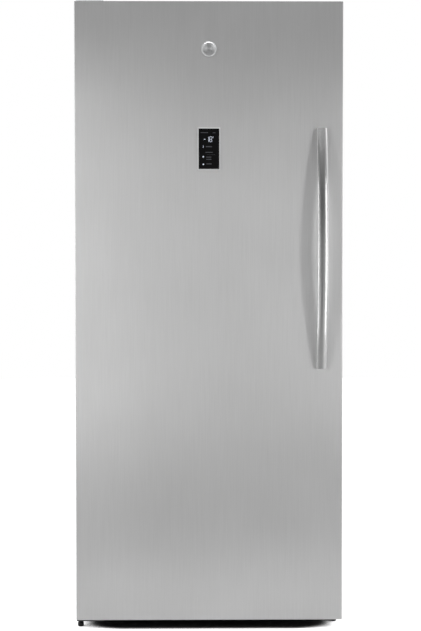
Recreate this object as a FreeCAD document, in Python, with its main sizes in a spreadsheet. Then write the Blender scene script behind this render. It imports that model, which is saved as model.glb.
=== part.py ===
"""Upright single-door freezer, built piece by piece at its real size in millimetres.

X runs to the right, Y to the back and Z up. The origin is on the floor, under the middle of the
freezer. The door hinges on the left and carries a bowed bar handle on the right.
"""
import FreeCAD, Part

import math
import os
import re

import Sketcher
from FreeCAD import Rotation, Vector

SHELF_COUNT = 4
BIN_COUNT = 5
FIN_COUNT = 18
KICK_SLOT_COUNT = 12
COVER_SLOT_COUNT = 14
DUCT_SLOT_COUNT = 5
PASS_COUNT = 8
BLADE_COUNT = 5
BLADE_PITCH_DEG = 32
BLADE_SHARE = 0.9  # of the wheel's depth that each blade spans
BLADE_ROOT = 0.8  # of the hub's radius, where each blade starts inside it
BEND_GAP = 0.01  # keeps the two arcs of a return bend from meeting in one point
NEAR = 1e-3
# Where the bracket screws sit, as shares of the plate's width and length.
LEFT_SCREW_SPOTS = ((0.3, 0.35), (0.8, 0.35), (0.55, 0.8))
RIGHT_SCREW_SPOTS = ((0.5, 0.45), (0.5, 0.85))

# Driving dimensions.
SIZES = {
    "over": 1,
    # Cabinet
    "width": 830,
    "cabinet_top": 1950,
    "cabinet_depth": 615,
    "cabinet_low": 28,
    "sheet": 0.8,
    "shell_round": 0.7,
    "flange_width": 44,
    "side_wall": 62,
    "top_wall": 65,
    "floor_wall": 77,
    "rear_wall": 65,
    "liner_wall": 2,
    "pan_edge": 16,
    # Compressor bay
    "bay_depth": 200,
    "bay_top": 300,
    "bay_wall": 62,
    "bay_roof": 60,
    "cover_thick": 1.5,
    "cover_slot_width": 6,
    "cover_slot_height": 70,
    "cover_slot_pitch": 22,
    "rear_screw_head": 2.5,
    "rear_screw_head_radius": 4.4,
    "rear_screw_radius": 2,
    "rear_screw_grip": 6,
    "rear_screw_inset": 28,
    "rear_screw_rise": 8,
    # Door
    "door_thick": 62,
    "door_gap": 2,
    "seal_gap": 11,
    "skin": 0.6,
    "skin_corner": 3,
    "cap_height": 16,
    "door_liner_wall": 2,
    "gasket_inset": 16,
    "gasket_width": 24,
    "gasket_gap": 0.3,
    "gasket_base": 3,
    "gasket_neck": 2,
    "neck_inset": 6,
    "lip_inset": 1.5,
    "dike_inset": 70,
    "dike_width": 30,
    "dike_height": 45,
    "dike_foot": 90,
    "dike_head": 78,
    # Hinges
    "hinge_inset": 10,
    "hinge_ahead": 24,
    "pin_radius": 5,
    "pin_gap": 0.06,
    "pin_grip": 12,
    "collar_radius": 9,
    "plate_thick": 3.5,
    "plate_width": 84,
    "right_plate_width": 67,
    "bracket_reach": 32,
    "bracket_round": 3,
    "top_plate_thick": 3,
    "top_plate_reach": 14,
    "top_plate_round": 12,
    "plate_length": 140,
    "hinge_cover_height": 11,
    "hinge_cover_wall": 1.6,
    "hinge_cover_set": 22,
    "hinge_cover_round": 4,
    "screw_radius": 3,
    "screw_head_radius": 6,
    "screw_head": 3,
    "screw_length": 12,
    # Handle
    "handle_inset": 67,
    "handle_low": 815,
    "handle_height": 743,
    "handle_width": 32,
    "handle_thick": 15.5,
    "handle_proud": 58,
    "handle_end_proud": 14.5,
    "handle_crown": 4.5,
    "handle_edge": 2.2,
    "stud_radius": 4,
    "stud_inset": 24,
    "stud_length": 27,
    "stud_grip": 6,
    # Control panel and badge
    "glass_width": 65,
    "glass_height": 126,
    "glass_thick": 3,
    "glass_proud": 1.7,
    "housing_rim": 1.5,
    "housing_proud": 1.2,
    "housing_depth": 19,
    "housing_wall": 3.5,
    "board_thick": 1.6,
    "board_set": 7,
    "badge_radius": 24,
    "badge_thick": 2.5,
    "badge_floor": 1.5,
    "badge_rim": 2.2,
    "badge_drop": 146,
    # Door bins
    "bin_first": 140,
    "bin_pitch": 335,
    "bin_height": 100,
    "bin_depth": 90,
    "bin_wall": 2.5,
    "bin_gap": 0.5,
    "lug_height": 10,
    "lug_width": 14,
    "lug_depth": 26,
    # Shelves
    "shelf_first": 580,
    "shelf_pitch": 310,
    "shelf_thick": 4,
    "shelf_set": 114,
    "shelf_gap": 3,
    "ledge_width": 10,
    "ledge_height": 12,
    "trim_depth": 12,
    "trim_height": 14,
    "trim_wall": 2,
    # Drawers
    "drawer_set": 110,
    "drawer_side": 28,
    "drawer_front": 4,
    "drawer_wall": 2.5,
    "flange_reach": 17,
    "flange_thick": 3,
    "flange_drop": 22,
    "rail_gap": 0.3,
    "rail_thick": 3,
    "rail_set": 12,
    "lower_drawer_low": 110,
    "lower_drawer_high": 352,
    "upper_drawer_low": 368,
    "upper_drawer_high": 560,
    "drawer_back_gap": 8,
    "grip_width": 120,
    "grip_height": 20,
    # Air duct and evaporator
    "duct_space": 66,
    "duct_thick": 4,
    "duct_slot_width": 120,
    "duct_slot_height": 9,
    "outlet_drop": 108,
    "return_slot_width": 96,
    "return_slot_height": 12,
    "return_slot_rise": 12,
    "return_pitch": 127,
    "coil_margin": 63,
    "coil_low": 420,
    "coil_pitch": 30,
    "coil_tube": 4,
    "fin_thick": 0.6,
    "fin_depth": 40,
    "end_plate": 2,
    "heater_drop": 26,
    "heater_radius": 5,
    "trough_margin": 10,
    "trough_height": 14,
    "trough_wall": 1.5,
    "trough_depth": 58,
    "drain_x": -200,
    "drain_low": 70,
    "drain_radius": 9,
    "drain_bore": 7,
    "fan_z": 770,
    "fan_radius": 50,
    "fan_hub": 11,
    "fan_depth": 14,
    "fan_motor_radius": 22,
    "fan_motor_length": 24,
    "shaft_radius": 2.5,
    "shaft_gap": 0.05,
    "blade_thick": 1.6,
    # Lamp
    "lamp_width": 120,
    "lamp_depth": 40,
    "lamp_height": 6,
    "lamp_round": 2.4,
    "lamp_set": 144,
    # Compressor and its bay
    "compressor_inset": 165,
    "compressor_radius": 78,
    "compressor_wall": 3,
    "cup_height": 80,
    "dome_height": 62,
    "dome_round": 30,
    "foot_plate_width": 190,
    "foot_plate_depth": 120,
    "foot_plate_thick": 3,
    "grommet_radius": 13,
    "grommet_height": 14,
    "bolt_radius": 4,
    "bolt_head": 3,
    "bolt_head_radius": 7,
    "bolt_inset": 15,
    "motor_radius": 52,
    "motor_height": 70,
    "spring_radius": 6,
    "spring_height": 18,
    "spring_place": 36,
    "relay_width": 60,
    "relay_depth": 28,
    "relay_height": 70,
    "relay_seat": 62,
    "condenser_inset": 85,
    "condenser_right": -60,
    "condenser_low": 76,
    "condenser_pitch": 26,
    "condenser_tube": 3,
    "layer_gap": 46,
    "bay_fan_x": 55,
    "bay_fan_z": 140,
    "bay_fan_radius": 74,
    "bay_motor_gap": 26,
    "bay_bracket_half": 60,
    "bay_bracket_top": 200,
    "dryer_radius": 9,
    "dryer_low": 120,
    "dryer_length": 80,
    "dryer_offset": 110,
    "capillary_radius": 1.5,
    "capillary_run": 32,
    "tube_bend": 12,
    "line_step": 24,
    "suction_offset": 40,
    "discharge_z": 130,
    "tray_margin": 20,
    "tray_depth": 164,
    "tray_height": 30,
    "tray_wall": 2,
    # Controller at the rear
    "box_width": 220,
    "box_height": 160,
    "box_low": 1500,
    "box_depth": 30,
    "box_cover_lap": 12,
    "box_cover_thick": 2,
    "main_board_inset": 14,
    "post_radius": 4,
    "post_inset": 8,
    "post_length": 14,
    # Cord gland
    "gland_inset": 65,
    "gland_z": 90,
    "gland_radius": 10,
    "gland_bore": 4.2,
    "gland_collar": 13,
    "gland_inside": 12,
    # Feet, rollers and kick plate
    "foot_radius": 9.5,
    "foot_height": 20.5,
    "foot_stud": 3,
    "left_stud_grip": 4.5,
    "foot_round": 1.2,
    "thread_gap": 0.05,
    "right_foot_inset": 17,
    "right_foot_back": 9,
    "tongue_inset": 18,
    "tongue_width": 38,
    "roller_radius": 12.5,
    "roller_width": 20,
    "roller_inset": 45,
    "roller_ahead": 70,
    "axle_radius": 3,
    "ear_thick": 2,
    "ear_gap": 0.3,
    "ear_half": 9,
    "ear_drop": 5.4,
    "kick_inset": 88,
    "kick_set": 4,
    "kick_low": 8,
    "kick_thick": 3,
    "kick_lip": 25,
    "kick_slot_width": 34,
    "kick_slot_height": 6,
}

# Places worked out from the driving dimensions.
PLACES = {
    "side": "width / 2",
    "inside": "side - sheet",
    "behind_cabinet": "cover_thick + rear_screw_head",
    "overall_depth": "handle_proud + door_thick + seal_gap + cabinet_depth + behind_cabinet",
    "handle_front": "-(overall_depth / 2)",
    "door_face": "handle_front + handle_proud",
    "door_back": "door_face + door_thick",
    "cabinet_face": "door_back + seal_gap",
    "cabinet_back": "cabinet_face + cabinet_depth",
    "behind_flange": "cabinet_face + sheet",
    "before_back": "cabinet_back - sheet",
    "below_top": "cabinet_top - sheet",
    "pan_top": "cabinet_low + sheet",
    "hole_half": "side - side_wall",
    "hole_top": "cabinet_top - top_wall",
    "hole_low": "cabinet_low + floor_wall",
    "hole_back": "cabinet_back - rear_wall",
    "bay_front": "cabinet_back - bay_depth",
    "bay_mid": "cabinet_back - bay_depth / 2",
    "bay_skin_front": "bay_front - sheet",
    "bay_skin_top": "bay_top + sheet",
    "step_back": "bay_front - bay_wall",
    "step_top": "bay_top + bay_roof",
    "ring_inner": "side - flange_width",
    "ring_top": "cabinet_top - flange_width",
    "ring_low": "cabinet_low + flange_width",
    "lip_back": "cabinet_face + liner_wall",
    "door_low": "cabinet_low + door_gap",
    "door_high": "cabinet_top - door_gap",
    "skin_in": "side - skin",
    "foam_face": "door_face + skin",
    "door_foam_back": "door_back - door_liner_wall",
    "cap_low_top": "door_low + cap_height",
    "cap_high_low": "door_high - cap_height",
    "dike_outer": "side - dike_inset",
    "dike_inner": "dike_outer - dike_width",
    "dike_back": "door_back + dike_height",
    "dike_low": "door_low + dike_foot",
    "dike_high": "door_high - dike_head",
    "pin_x": "-(side - hinge_inset)",
    "pin_y": "door_back - hinge_ahead",
    "bracket_low": "cabinet_low - plate_thick",
    "top_plate_high": "cabinet_top + top_plate_thick",
    "bracket_front": "pin_y - bracket_reach",
    "top_plate_front": "pin_y - top_plate_reach",
    "plate_left": "-(side - sheet)",
    "plate_right": "plate_left + plate_width",
    "plate_back": "cabinet_face + plate_length",
    "handle_x": "side - handle_inset",
    "handle_high": "handle_low + handle_height",
    "handle_mid": "handle_low + handle_height / 2",
    "handle_rise": "handle_proud - handle_end_proud",
    "handle_bow": "(handle_height * handle_height / 4 + handle_rise * handle_rise) / (2 * handle_rise)",
    "glass_low": "handle_high - glass_height",
    "glass_face": "door_face - glass_proud",
    "glass_back": "glass_face + glass_thick",
    "housing_face": "door_face - housing_proud",
    "housing_back": "door_face + housing_depth",
    "housing_half": "glass_width / 2 + housing_rim",
    "housing_low": "glass_low - housing_rim",
    "housing_high": "handle_high + housing_rim",
    "badge_z": "door_high - badge_drop",
    "shelf_front": "cabinet_face + shelf_set",
    "duct_back": "hole_back - duct_space",
    "duct_front": "duct_back - duct_thick",
    "ledge_inner": "hole_half - ledge_width",
    "drawer_face": "cabinet_face + drawer_set",
    "drawer_half": "hole_half - drawer_side",
    "tub_half": "drawer_half - flange_reach",
    "coil_half": "hole_half - coil_margin",
    "trough_half": "coil_half + trough_margin",
    "coil_y": "hole_back - duct_space / 2",
    "coil_high": f"coil_low + coil_pitch * {PASS_COUNT - 1}",
    "heater_z": "coil_low - heater_drop",
    "fan_back": "hole_back - fan_motor_length",
    "fan_front": "fan_back - fan_depth - shaft_radius",
    "base_z": "pan_top + grommet_height",
    "cup_top": "base_z + foot_plate_thick + cup_height",
    "compressor_x": "side - compressor_inset",
    "suction_x": "compressor_x + suction_offset",
    "dryer_x": "compressor_x - dryer_offset",
    "condenser_left": "-(side - condenser_inset)",
    "tray_left": "condenser_left - tray_margin",
    "tray_right": "condenser_right + tray_margin",
    "front_layer": "bay_mid - layer_gap",
    "rear_layer": "bay_mid + layer_gap",
    "condenser_high": f"condenser_low + condenser_pitch * {PASS_COUNT - 1}",
    "bay_bracket_x": "bay_fan_x + fan_depth / 2 + bay_motor_gap + fan_motor_length",
    "dryer_high": "dryer_low + dryer_length",
    "cover_back": "cabinet_back + cover_thick",
    "gland_x": "-(side - gland_inset)",
    "box_front": "cabinet_back - box_depth",
    "box_high": "box_low + box_height",
    "board_y": "cabinet_back - post_length",
    "right_foot_x": "side - right_foot_inset",
    "right_foot_y": "cabinet_face + right_foot_back",
    "roller_x": "side - roller_inset",
    "roller_y": "cabinet_back - roller_ahead",
    "kick_half": "side - kick_inset",
    "kick_front": "cabinet_face + kick_set",
}

doc = FreeCAD.newDocument("upright_freezer")
sub_parts = []


def bind(text, own=""):
    """Point each size in an expression at its sheet; the sheet named `own` needs no prefix."""
    def point(match):
        word = match.group(0)
        if word in SIZES:
            return word if own == "size" else f"size.{word}"
        if word in PLACES:
            return word if own == "place" else f"place.{word}"
        return word
    return re.sub(r"[a-z_]+[a-z]", point, text)


def fill_sheet(name, cells):
    """Make a spreadsheet with one named cell for each size."""
    sheet = doc.addObject("Spreadsheet::Sheet", name)
    for row, (alias, content) in enumerate(cells.items(), start=1):
        sheet.set(f"A{row}", alias)
        sheet.set(f"B{row}", content)
        sheet.setAlias(f"B{row}", alias)
    return sheet


sheet = fill_sheet("size", {alias: str(value) for alias, value in SIZES.items()})
fill_sheet("place", {alias: "=" + bind(text, "place") for alias, text in PLACES.items()})
doc.recompute()


def value(text):
    """Work out an expression in millimetres."""
    return float(sheet.evalExpression(bind(text)))


def keep(label, item):
    """Name a finished sub-part, which is written to its own file."""
    item.Label = label
    sub_parts.append(item)
    return item


def place_at(item, position):
    """Tie an object's position to three expressions."""
    for axis, text in zip("xyz", position):
        item.setExpression(f"Placement.Base.{axis}", bind(text))
    return item


# ---- Shapes made from sketches ----

def outline(points):
    """Closed outline through points (u, v); (u, v, radius, side) starts an arc that bulges to a side."""
    def add(sketch):
        first = sketch.GeometryCount
        count = len(points)
        spots = [Vector(value(point[0]), value(point[1]), 0) for point in points]
        for index, point in enumerate(points):
            start, end = spots[index], spots[(index + 1) % count]
            if len(point) == 2:
                sketch.addGeometry(Part.LineSegment(start, end), False)
                continue
            radius, side = value(point[2]), point[3]
            chord = end - start
            rise = radius - math.sqrt(max(radius ** 2 - (chord.Length / 2) ** 2, 0))
            normal = Vector(-chord.y, chord.x, 0).normalize() * (rise * side)
            arc = Part.Arc(start, start + chord / 2 + normal, end)
            sketch.addGeometry(arc.toShape().Curve.trim(*arc.toShape().ParameterRange), False)
        for index, point in enumerate(points):
            this, following = first + index, first + (index + 1) % count
            end_of_this = 2 if len(point) == 2 or point[3] < 0 else 1
            start_of_next = start_end(points[(index + 1) % count])
            sketch.addConstraint(
                Sketcher.Constraint("Coincident", this, end_of_this, following, start_of_next))
        for index, point in enumerate(points):
            tie_point(sketch, first + index, start_end(point), spots[index], point)
            if len(point) > 2:
                row = sketch.addConstraint(Sketcher.Constraint("Radius", first + index, value(point[2])))
                sketch.setExpression(f"Constraints[{row}]", bind(point[2]))
    return add


def start_end(point):
    """Number of the end at which an edge starts; an arc that bulges left is stored backwards."""
    return 1 if len(point) == 2 or point[3] < 0 else 2


def tie_point(sketch, edge, end, spot, texts):
    """Hold one end of an edge at a distance from the sketch's origin, both ways."""
    for kind, number, text in (("DistanceX", spot.x, texts[0]), ("DistanceY", spot.y, texts[1])):
        row = sketch.addConstraint(Sketcher.Constraint(kind, -1, 1, edge, end, number))
        sketch.setExpression(f"Constraints[{row}]", bind(text))


def rectangle(left, low, right, high):
    """Closed rectangle."""
    return outline([(left, low), (right, low), (right, high), (left, high)])


def circle(across, up, radius):
    """Full circle."""
    def add(sketch):
        spot = Vector(value(across), value(up), 0)
        edge = sketch.addGeometry(Part.Circle(spot, Vector(0, 0, 1), value(radius)), False)
        tie_point(sketch, edge, 3, spot, (across, up))
        row = sketch.addConstraint(Sketcher.Constraint("Radius", edge, value(radius)))
        sketch.setExpression(f"Constraints[{row}]", bind(radius))
    return add


def new_body(name):
    """Empty body for sketched features."""
    return doc.addObject("PartDesign::Body", name)


def sketch_on(owner, plane, level, shapes):
    """Sketch on one of the body's own planes, moved along that plane's axis to `level`."""
    sketch = owner.newObject("Sketcher::SketchObject", "outline")
    role = f"{plane}_Plane"
    support = next(item for item in owner.Origin.OriginFeatures if item.Role == role)
    sketch.AttachmentSupport = [(support, "")]
    sketch.MapMode = "FlatFace"
    sign = "-1 * " if plane == "XZ" else ""
    sketch.setExpression("AttachmentOffset.Base.z", bind(f"{sign}({level})"))
    for add in shapes:
        add(sketch)
    return sketch


def extrude(owner, kind, plane, low, high, *shapes):
    """Pad or pocket between two levels; an XZ sketch looks to the front, so it starts at the back."""
    sketch = sketch_on(owner, plane, high if plane == "XZ" else low, shapes)
    feature = owner.newObject(f"PartDesign::{kind}", kind.lower())
    feature.Profile = sketch
    feature.setExpression("Length", bind(f"({high}) - ({low})"))
    if kind == "Pocket":
        feature.Reversed = True
        before = feature.BaseFeature
        doc.recompute()
        if feature.Shape.Volume >= before.Shape.Volume:
            raise RuntimeError(f"{owner.Name}: a pocket cuts nothing")
    return feature


def pad(owner, plane, low, high, *shapes):
    """Pad sketched shapes between two levels."""
    return extrude(owner, "Pad", plane, low, high, *shapes)


def pocket(owner, plane, low, high, *shapes):
    """Cut sketched shapes out between two levels."""
    return extrude(owner, "Pocket", plane, low, high, *shapes)


def fillet(owner, radius, picks):
    """Round the edges of the body's last feature that `picks` chooses."""
    doc.recompute()
    base = owner.Tip
    names = [f"Edge{number}" for number, edge in enumerate(base.Shape.Edges, start=1) if picks(edge)]
    feature = owner.newObject("PartDesign::Fillet", "fillet")
    feature.Base = (base, names)
    feature.setExpression("Radius", bind(radius))
    return feature


def edges_along(direction, *levels):
    """Choose straight edges along an axis; a level is an axis name and the place it must be at."""
    def picks(edge):
        run = edge.tangentAt(edge.FirstParameter)
        if edge.Curve.TypeId != "Part::GeomLine" or abs(abs(run.dot(direction)) - 1) > NEAR:
            return False
        centre = edge.CenterOfMass
        return all(abs(getattr(centre, axis) - value(text)) < NEAR for axis, text in levels)
    return picks


def edge_above(level):
    """Choose edges whose middle lies at a level or above it."""
    return lambda edge: edge.CenterOfMass.z > value(level) - NEAR


# ---- Shapes made from solids ----

def box(name, low, high):
    """Block between two corners."""
    item = doc.addObject("Part::Box", name)
    for side, start, end in zip(("Length", "Width", "Height"), low, high):
        item.setExpression(side, bind(f"({end}) - ({start})"))
    return place_at(item, low)


TURNS = {"x": Rotation(Vector(0, 1, 0), 90), "y": Rotation(Vector(1, 0, 0), -90), "z": Rotation()}


def rod(name, axis, centre, low, high, radius):
    """Cylinder along an axis between two levels; centre holds the other two coordinates in order."""
    item = doc.addObject("Part::Cylinder", name)
    item.setExpression("Radius", bind(radius))
    item.setExpression("Height", bind(f"({high}) - ({low})"))
    item.Placement.Rotation = TURNS[axis]
    spot = list(centre)
    spot.insert("xyz".index(axis), low)
    return place_at(item, spot)


def fuse(name, parts):
    """Join solids into one."""
    item = doc.addObject("Part::MultiFuse", name)
    item.Shapes = parts
    item.Refine = True
    return item


def cut(name, base, tools):
    """Take solids away from a base."""
    item = doc.addObject("Part::Cut", name)
    item.Base = base
    item.Tool = tools[0] if len(tools) == 1 else fuse(f"{name}_tools", tools)
    item.Refine = True
    return item


def group(name, parts):
    """Keep separate solids together under one name."""
    item = doc.addObject("Part::Compound", name)
    item.Links = parts
    return item


def tube_shape(points, radius, bend):
    """Round tube along straight runs joined by arcs of one bend radius."""
    edges = []
    start = points[0]
    for before, corner, after in zip(points, points[1:], points[2:]):
        into = (corner - before).normalize()
        out = (after - corner).normalize()
        reach = bend * math.tan(into.getAngle(out) / 2)
        first, last = corner - into * reach, corner + out * reach
        middle = corner + (out - into).normalize() * (bend / math.cos(into.getAngle(out) / 2) - bend)
        edges.append(Part.LineSegment(start, first).toShape())
        edges.append(Part.Arc(first, middle, last).toShape())
        start = last
    edges.append(Part.LineSegment(start, points[-1]).toShape())
    spine = Part.Wire([edge for edge in edges if edge.Length > NEAR])
    ring = Part.Wire(Part.makeCircle(radius, points[0], (points[1] - points[0]).normalize()))
    return spine.makePipeShell([ring], True, False)


def serpentine(left, right, low, pitch, depth):
    """Corner points of a tube that runs left and right while it climbs, at one depth."""
    points = []
    for row in range(PASS_COUNT):
        height = low + row * pitch
        ends = (left, right) if row % 2 else (right, left)
        points += [Vector(end, depth, height) for end in ends]
    return points


def own_shape(name, shape):
    """Object that holds a shape made by the functions above."""
    item = doc.addObject("Part::Feature", name)
    item.Shape = shape
    return item


# ---- Screws that several pieces share ----

def bracket_screw(name, across, depth, start, end, head_low):
    """Shaft and head of an upright screw."""
    shaft = rod(f"{name}_shaft", "z", (across, depth), start, end, "screw_radius")
    head = rod(f"{name}_head", "z", (across, depth), head_low, f"{head_low} + screw_head",
               "screw_head_radius")
    return shaft, head


def make_bracket_screws():
    """Screws of the top hinge plate, the bottom hinge bracket and the right foot bracket."""
    shafts = {"top": [], "low": [], "right": []}
    solids = []
    for number, (across_share, depth_share) in enumerate(LEFT_SCREW_SPOTS, start=1):
        across = f"plate_left + plate_width * {across_share}"
        depth = f"cabinet_face + plate_length * {depth_share}"
        top = bracket_screw(f"top_screw_{number}", across, depth, "cabinet_top - screw_length",
                            "top_plate_high", "top_plate_high")
        low = bracket_screw(f"low_screw_{number}", across, depth, "bracket_low",
                            "cabinet_low + screw_length", "bracket_low - screw_head")
        shafts["top"].append(top[0])
        shafts["low"].append(low[0])
        solids += [fuse(f"top_hinge_screw_{number}", list(top)), fuse(f"low_hinge_screw_{number}", list(low))]
    for number, (across_share, depth_share) in enumerate(RIGHT_SCREW_SPOTS, start=1):
        across = f"side - plate_width * {across_share}"
        depth = f"cabinet_face + plate_length * {depth_share}"
        pair = bracket_screw(f"right_screw_{number}", across, depth, "bracket_low",
                             "cabinet_low + screw_length", "bracket_low - screw_head")
        shafts["right"].append(pair[0])
        solids.append(fuse(f"right_bracket_screw_{number}", list(pair)))
    keep("bracket_screws", group("bracket_screws", solids))
    return shafts


def make_rear_screws():
    """Screws that hold the bay cover, with their shafts for the holes."""
    shafts, solids = [], []
    for side, across in (("left", "-(side - rear_screw_inset)"), ("right", "side - rear_screw_inset")):
        for level, height in (("low", "cabinet_low + rear_screw_rise"),
                              ("high", "bay_top - rear_screw_rise")):
            name = f"rear_screw_{level}_{side}"
            shaft = rod(f"{name}_shaft", "y", (across, height), "cabinet_back - rear_screw_grip",
                        "cover_back", "rear_screw_radius")
            head = rod(f"{name}_head", "y", (across, height), "cover_back",
                       "cover_back + rear_screw_head", "rear_screw_head_radius")
            shafts.append(shaft)
            solids.append(fuse(name, [shaft, head]))
    keep("rear_screws", group("rear_screws", solids))
    return shafts


# ---- Cabinet ----

def make_outer_shell(top_shafts):
    """Painted steel wrap: two sides and the top, folded in at the front to carry the seal."""
    body = new_body("shell_body")
    pad(body, "XZ", "cabinet_face", "cabinet_back", rectangle("-side", "cabinet_low", "side", "cabinet_top"))
    fillet(body, "shell_round", edges_along(Vector(0, 1, 0), ("z", "cabinet_top")))
    pocket(body, "XZ", "behind_flange", "cabinet_back",
           rectangle("-inside", "cabinet_low", "inside", "below_top"))
    pocket(body, "XZ", "cabinet_face", "behind_flange",
           rectangle("-ring_inner", "cabinet_low", "ring_inner", "ring_top"))
    return keep("outer_shell", cut("shell", body, top_shafts))


def make_back_panel(box_block):
    """Galvanised sheet that closes the foam at the back, above the compressor bay."""
    plate = box("back_plate", ("-inside", "before_back", "bay_skin_top"),
                ("inside", "cabinet_back", "below_top"))
    return keep("back_panel", cut("back", plate, [box_block]))


def make_base_pan(low_shafts, rear_shafts):
    """Galvanised pan under the cabinet, turned up at the front and at the back."""
    body = new_body("pan_body")
    pad(body, "YZ", "-inside", "inside", outline([
        ("behind_flange", "cabinet_low"), ("cabinet_back", "cabinet_low"),
        ("cabinet_back", "cabinet_low + pan_edge"), ("before_back", "cabinet_low + pan_edge"),
        ("before_back", "pan_top"), ("behind_flange", "pan_top")]))
    pad(body, "XZ", "cabinet_face", "behind_flange",
        rectangle("-ring_inner", "cabinet_low", "ring_inner", "ring_low"))
    return keep("base_pan", cut("pan", body, low_shafts + rear_shafts))


def make_bay_liner(drain_rod, rear_shafts):
    """Folded sheet that forms the front wall and the roof of the compressor bay."""
    body = new_body("bay_body")
    pad(body, "YZ", "-inside", "inside", outline([
        ("bay_skin_front", "pan_top"), ("bay_front", "pan_top"), ("bay_front", "bay_top"),
        ("before_back", "bay_top"), ("before_back", "bay_top - pan_edge"),
        ("cabinet_back", "bay_top - pan_edge"), ("cabinet_back", "bay_skin_top"),
        ("bay_skin_front", "bay_skin_top")]))
    return keep("bay_liner", cut("bay", body, [drain_rod] + rear_shafts))


def liner_block(name, wall, face):
    """Solid that fills the food space, grown outwards by a wall."""
    upper = box(f"{name}_upper", (f"-(hole_half + {wall})", face, f"step_top - {wall}"),
                (f"hole_half + {wall}", f"hole_back + {wall}", f"hole_top + {wall}"))
    lower = box(f"{name}_lower", (f"-(hole_half + {wall})", face, f"hole_low - {wall}"),
                (f"hole_half + {wall}", f"step_back + {wall}", f"step_top - {wall} + over"))
    return fuse(name, [upper, lower])


def shelf_level(number):
    """Height of one shelf's underside."""
    return f"shelf_first + shelf_pitch * {number}"


def make_inner_liner(drain_rod):
    """White food liner with a stepped floor, a front lip and ledges for the shelves."""
    outer = liner_block("liner_outer", "liner_wall", "cabinet_face")
    hole = liner_block("liner_hole", "0", "cabinet_face - over")
    lip = box("liner_lip", ("-ring_inner", "cabinet_face", "ring_low"),
              ("ring_inner", "lip_back", "ring_top"))
    hollow = cut("liner_hollow", fuse("liner_solid", [outer, lip]), [hole, drain_rod])
    ledges = []
    for number in range(SHELF_COUNT):
        low = f"{shelf_level(number)} - ledge_height"
        for sign, name in (("-", "left"), ("", "right")):
            start, end = (f"{sign}ledge_inner", f"{sign}hole_half")
            if sign:
                start, end = end, start
            ledges.append(box(f"ledge_{name}_{number + 1}", (start, "shelf_front", low),
                              (end, "duct_front", shelf_level(number))))
    keep("inner_liner", fuse("liner", [hollow] + ledges))
    return outer, lip


def make_cabinet_foam(outer, lip, tools):
    """Insulating foam between the shell and the liner."""
    block = box("foam_block", ("-inside", "behind_flange", "pan_top"),
                ("inside", "before_back", "below_top"))
    bay = box("foam_bay", ("-inside", "bay_skin_front", "pan_top"),
              ("inside", "cabinet_back", "bay_skin_top"))
    return keep("cabinet_foam", cut("foam", block, [outer, lip, bay] + tools))


def make_duct_panel():
    """Plastic panel in front of the evaporator, with outlets behind each shelf and a return below."""
    body = new_body("duct_body")
    pad(body, "XZ", "duct_front", "duct_back", rectangle("-hole_half", "step_top", "hole_half", "hole_top"))
    outlets = []
    for number in range(DUCT_SLOT_COUNT):
        low = f"{shelf_level(number)} - outlet_drop"
        for across in ("-(hole_half / 2)", "hole_half / 2"):
            outlets.append(rectangle(f"{across} - duct_slot_width / 2", low,
                                     f"{across} + duct_slot_width / 2", f"{low} + duct_slot_height"))
    pocket(body, "XZ", "duct_front", "duct_back", *outlets)
    returns = []
    for number in range(DUCT_SLOT_COUNT):
        across = f"return_pitch * {number - (DUCT_SLOT_COUNT - 1) / 2}"
        returns.append(rectangle(f"{across} - return_slot_width / 2", "step_top + return_slot_rise",
                                 f"{across} + return_slot_width / 2",
                                 "step_top + return_slot_rise + return_slot_height"))
    pocket(body, "XZ", "duct_front", "duct_back", *returns)
    return keep("duct_panel", body)


def make_evaporator():
    """Finned coil behind the duct panel, with the heater that clears its frost."""
    half, low, pitch = value("coil_half"), value("coil_low"), value("coil_pitch")
    depth, tube = value("coil_y"), value("coil_tube")
    bend_room = pitch / 2 + value("end_plate")
    points = serpentine(-half + bend_room, half - bend_room, low, pitch, depth)
    solids = [tube_shape(points, tube, pitch / 2 - BEND_GAP)]
    fin_low, fin_high = low - pitch / 2, value("coil_high") + pitch / 2
    fin, fin_depth = value("fin_thick"), value("fin_depth")
    inner = half - bend_room - pitch
    for number in range(FIN_COUNT):
        across = -inner + 2 * inner * number / (FIN_COUNT - 1)
        corner = Vector(across - fin / 2, depth - fin_depth / 2, fin_low)
        solids.append(Part.makeBox(fin, fin_depth, fin_high - fin_low, corner))
    plate, rear = value("end_plate"), value("hole_back")
    plate_low = value("heater_z - heater_radius * 2")
    front = depth - fin_depth / 2
    for across in (-half, half - plate):
        corner = Vector(across, front, plate_low)
        solids.append(Part.makeBox(plate, rear - front, fin_high - plate_low, corner))
    for row in (1, PASS_COUNT - 2):
        height = low + row * pitch - tube / 2
        corner = Vector(-half, depth + fin_depth / 2 - plate, height)
        solids.append(Part.makeBox(2 * half, plate, tube, corner))
    keep("evaporator_coil", own_shape("evaporator", solids[0].multiFuse(solids[1:]).removeSplitter()))
    heater = rod("heater", "x", ("coil_y", "heater_z"), "-(coil_half - end_plate)",
                 "coil_half - end_plate", "heater_radius")
    keep("defrost_heater", heater)


def make_drain():
    """Meltwater trough on the liner's step, with the tube that leads it down to the drip tray."""
    trough = box("trough_block", ("-trough_half", "hole_back - trough_depth", "step_top"),
                 ("trough_half", "hole_back - trough_wall", "step_top + trough_height"))
    channel = box("trough_channel",
                  ("-(trough_half - trough_wall)", "hole_back - trough_depth + trough_wall",
                   "step_top + trough_wall"),
                  ("trough_half - trough_wall", "hole_back - trough_wall * 2",
                   "step_top + trough_height + over"))
    spot = ("drain_x", "bay_mid")
    tube = rod("drain_tube", "z", spot, "drain_low", "step_top", "drain_radius")
    bore = rod("drain_bore", "z", spot, "drain_low - over", "step_top + trough_height", "drain_bore")
    keep("drain_trough", cut("trough", fuse("trough_solid", [trough, tube]), [channel, bore]))
    return tube


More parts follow.
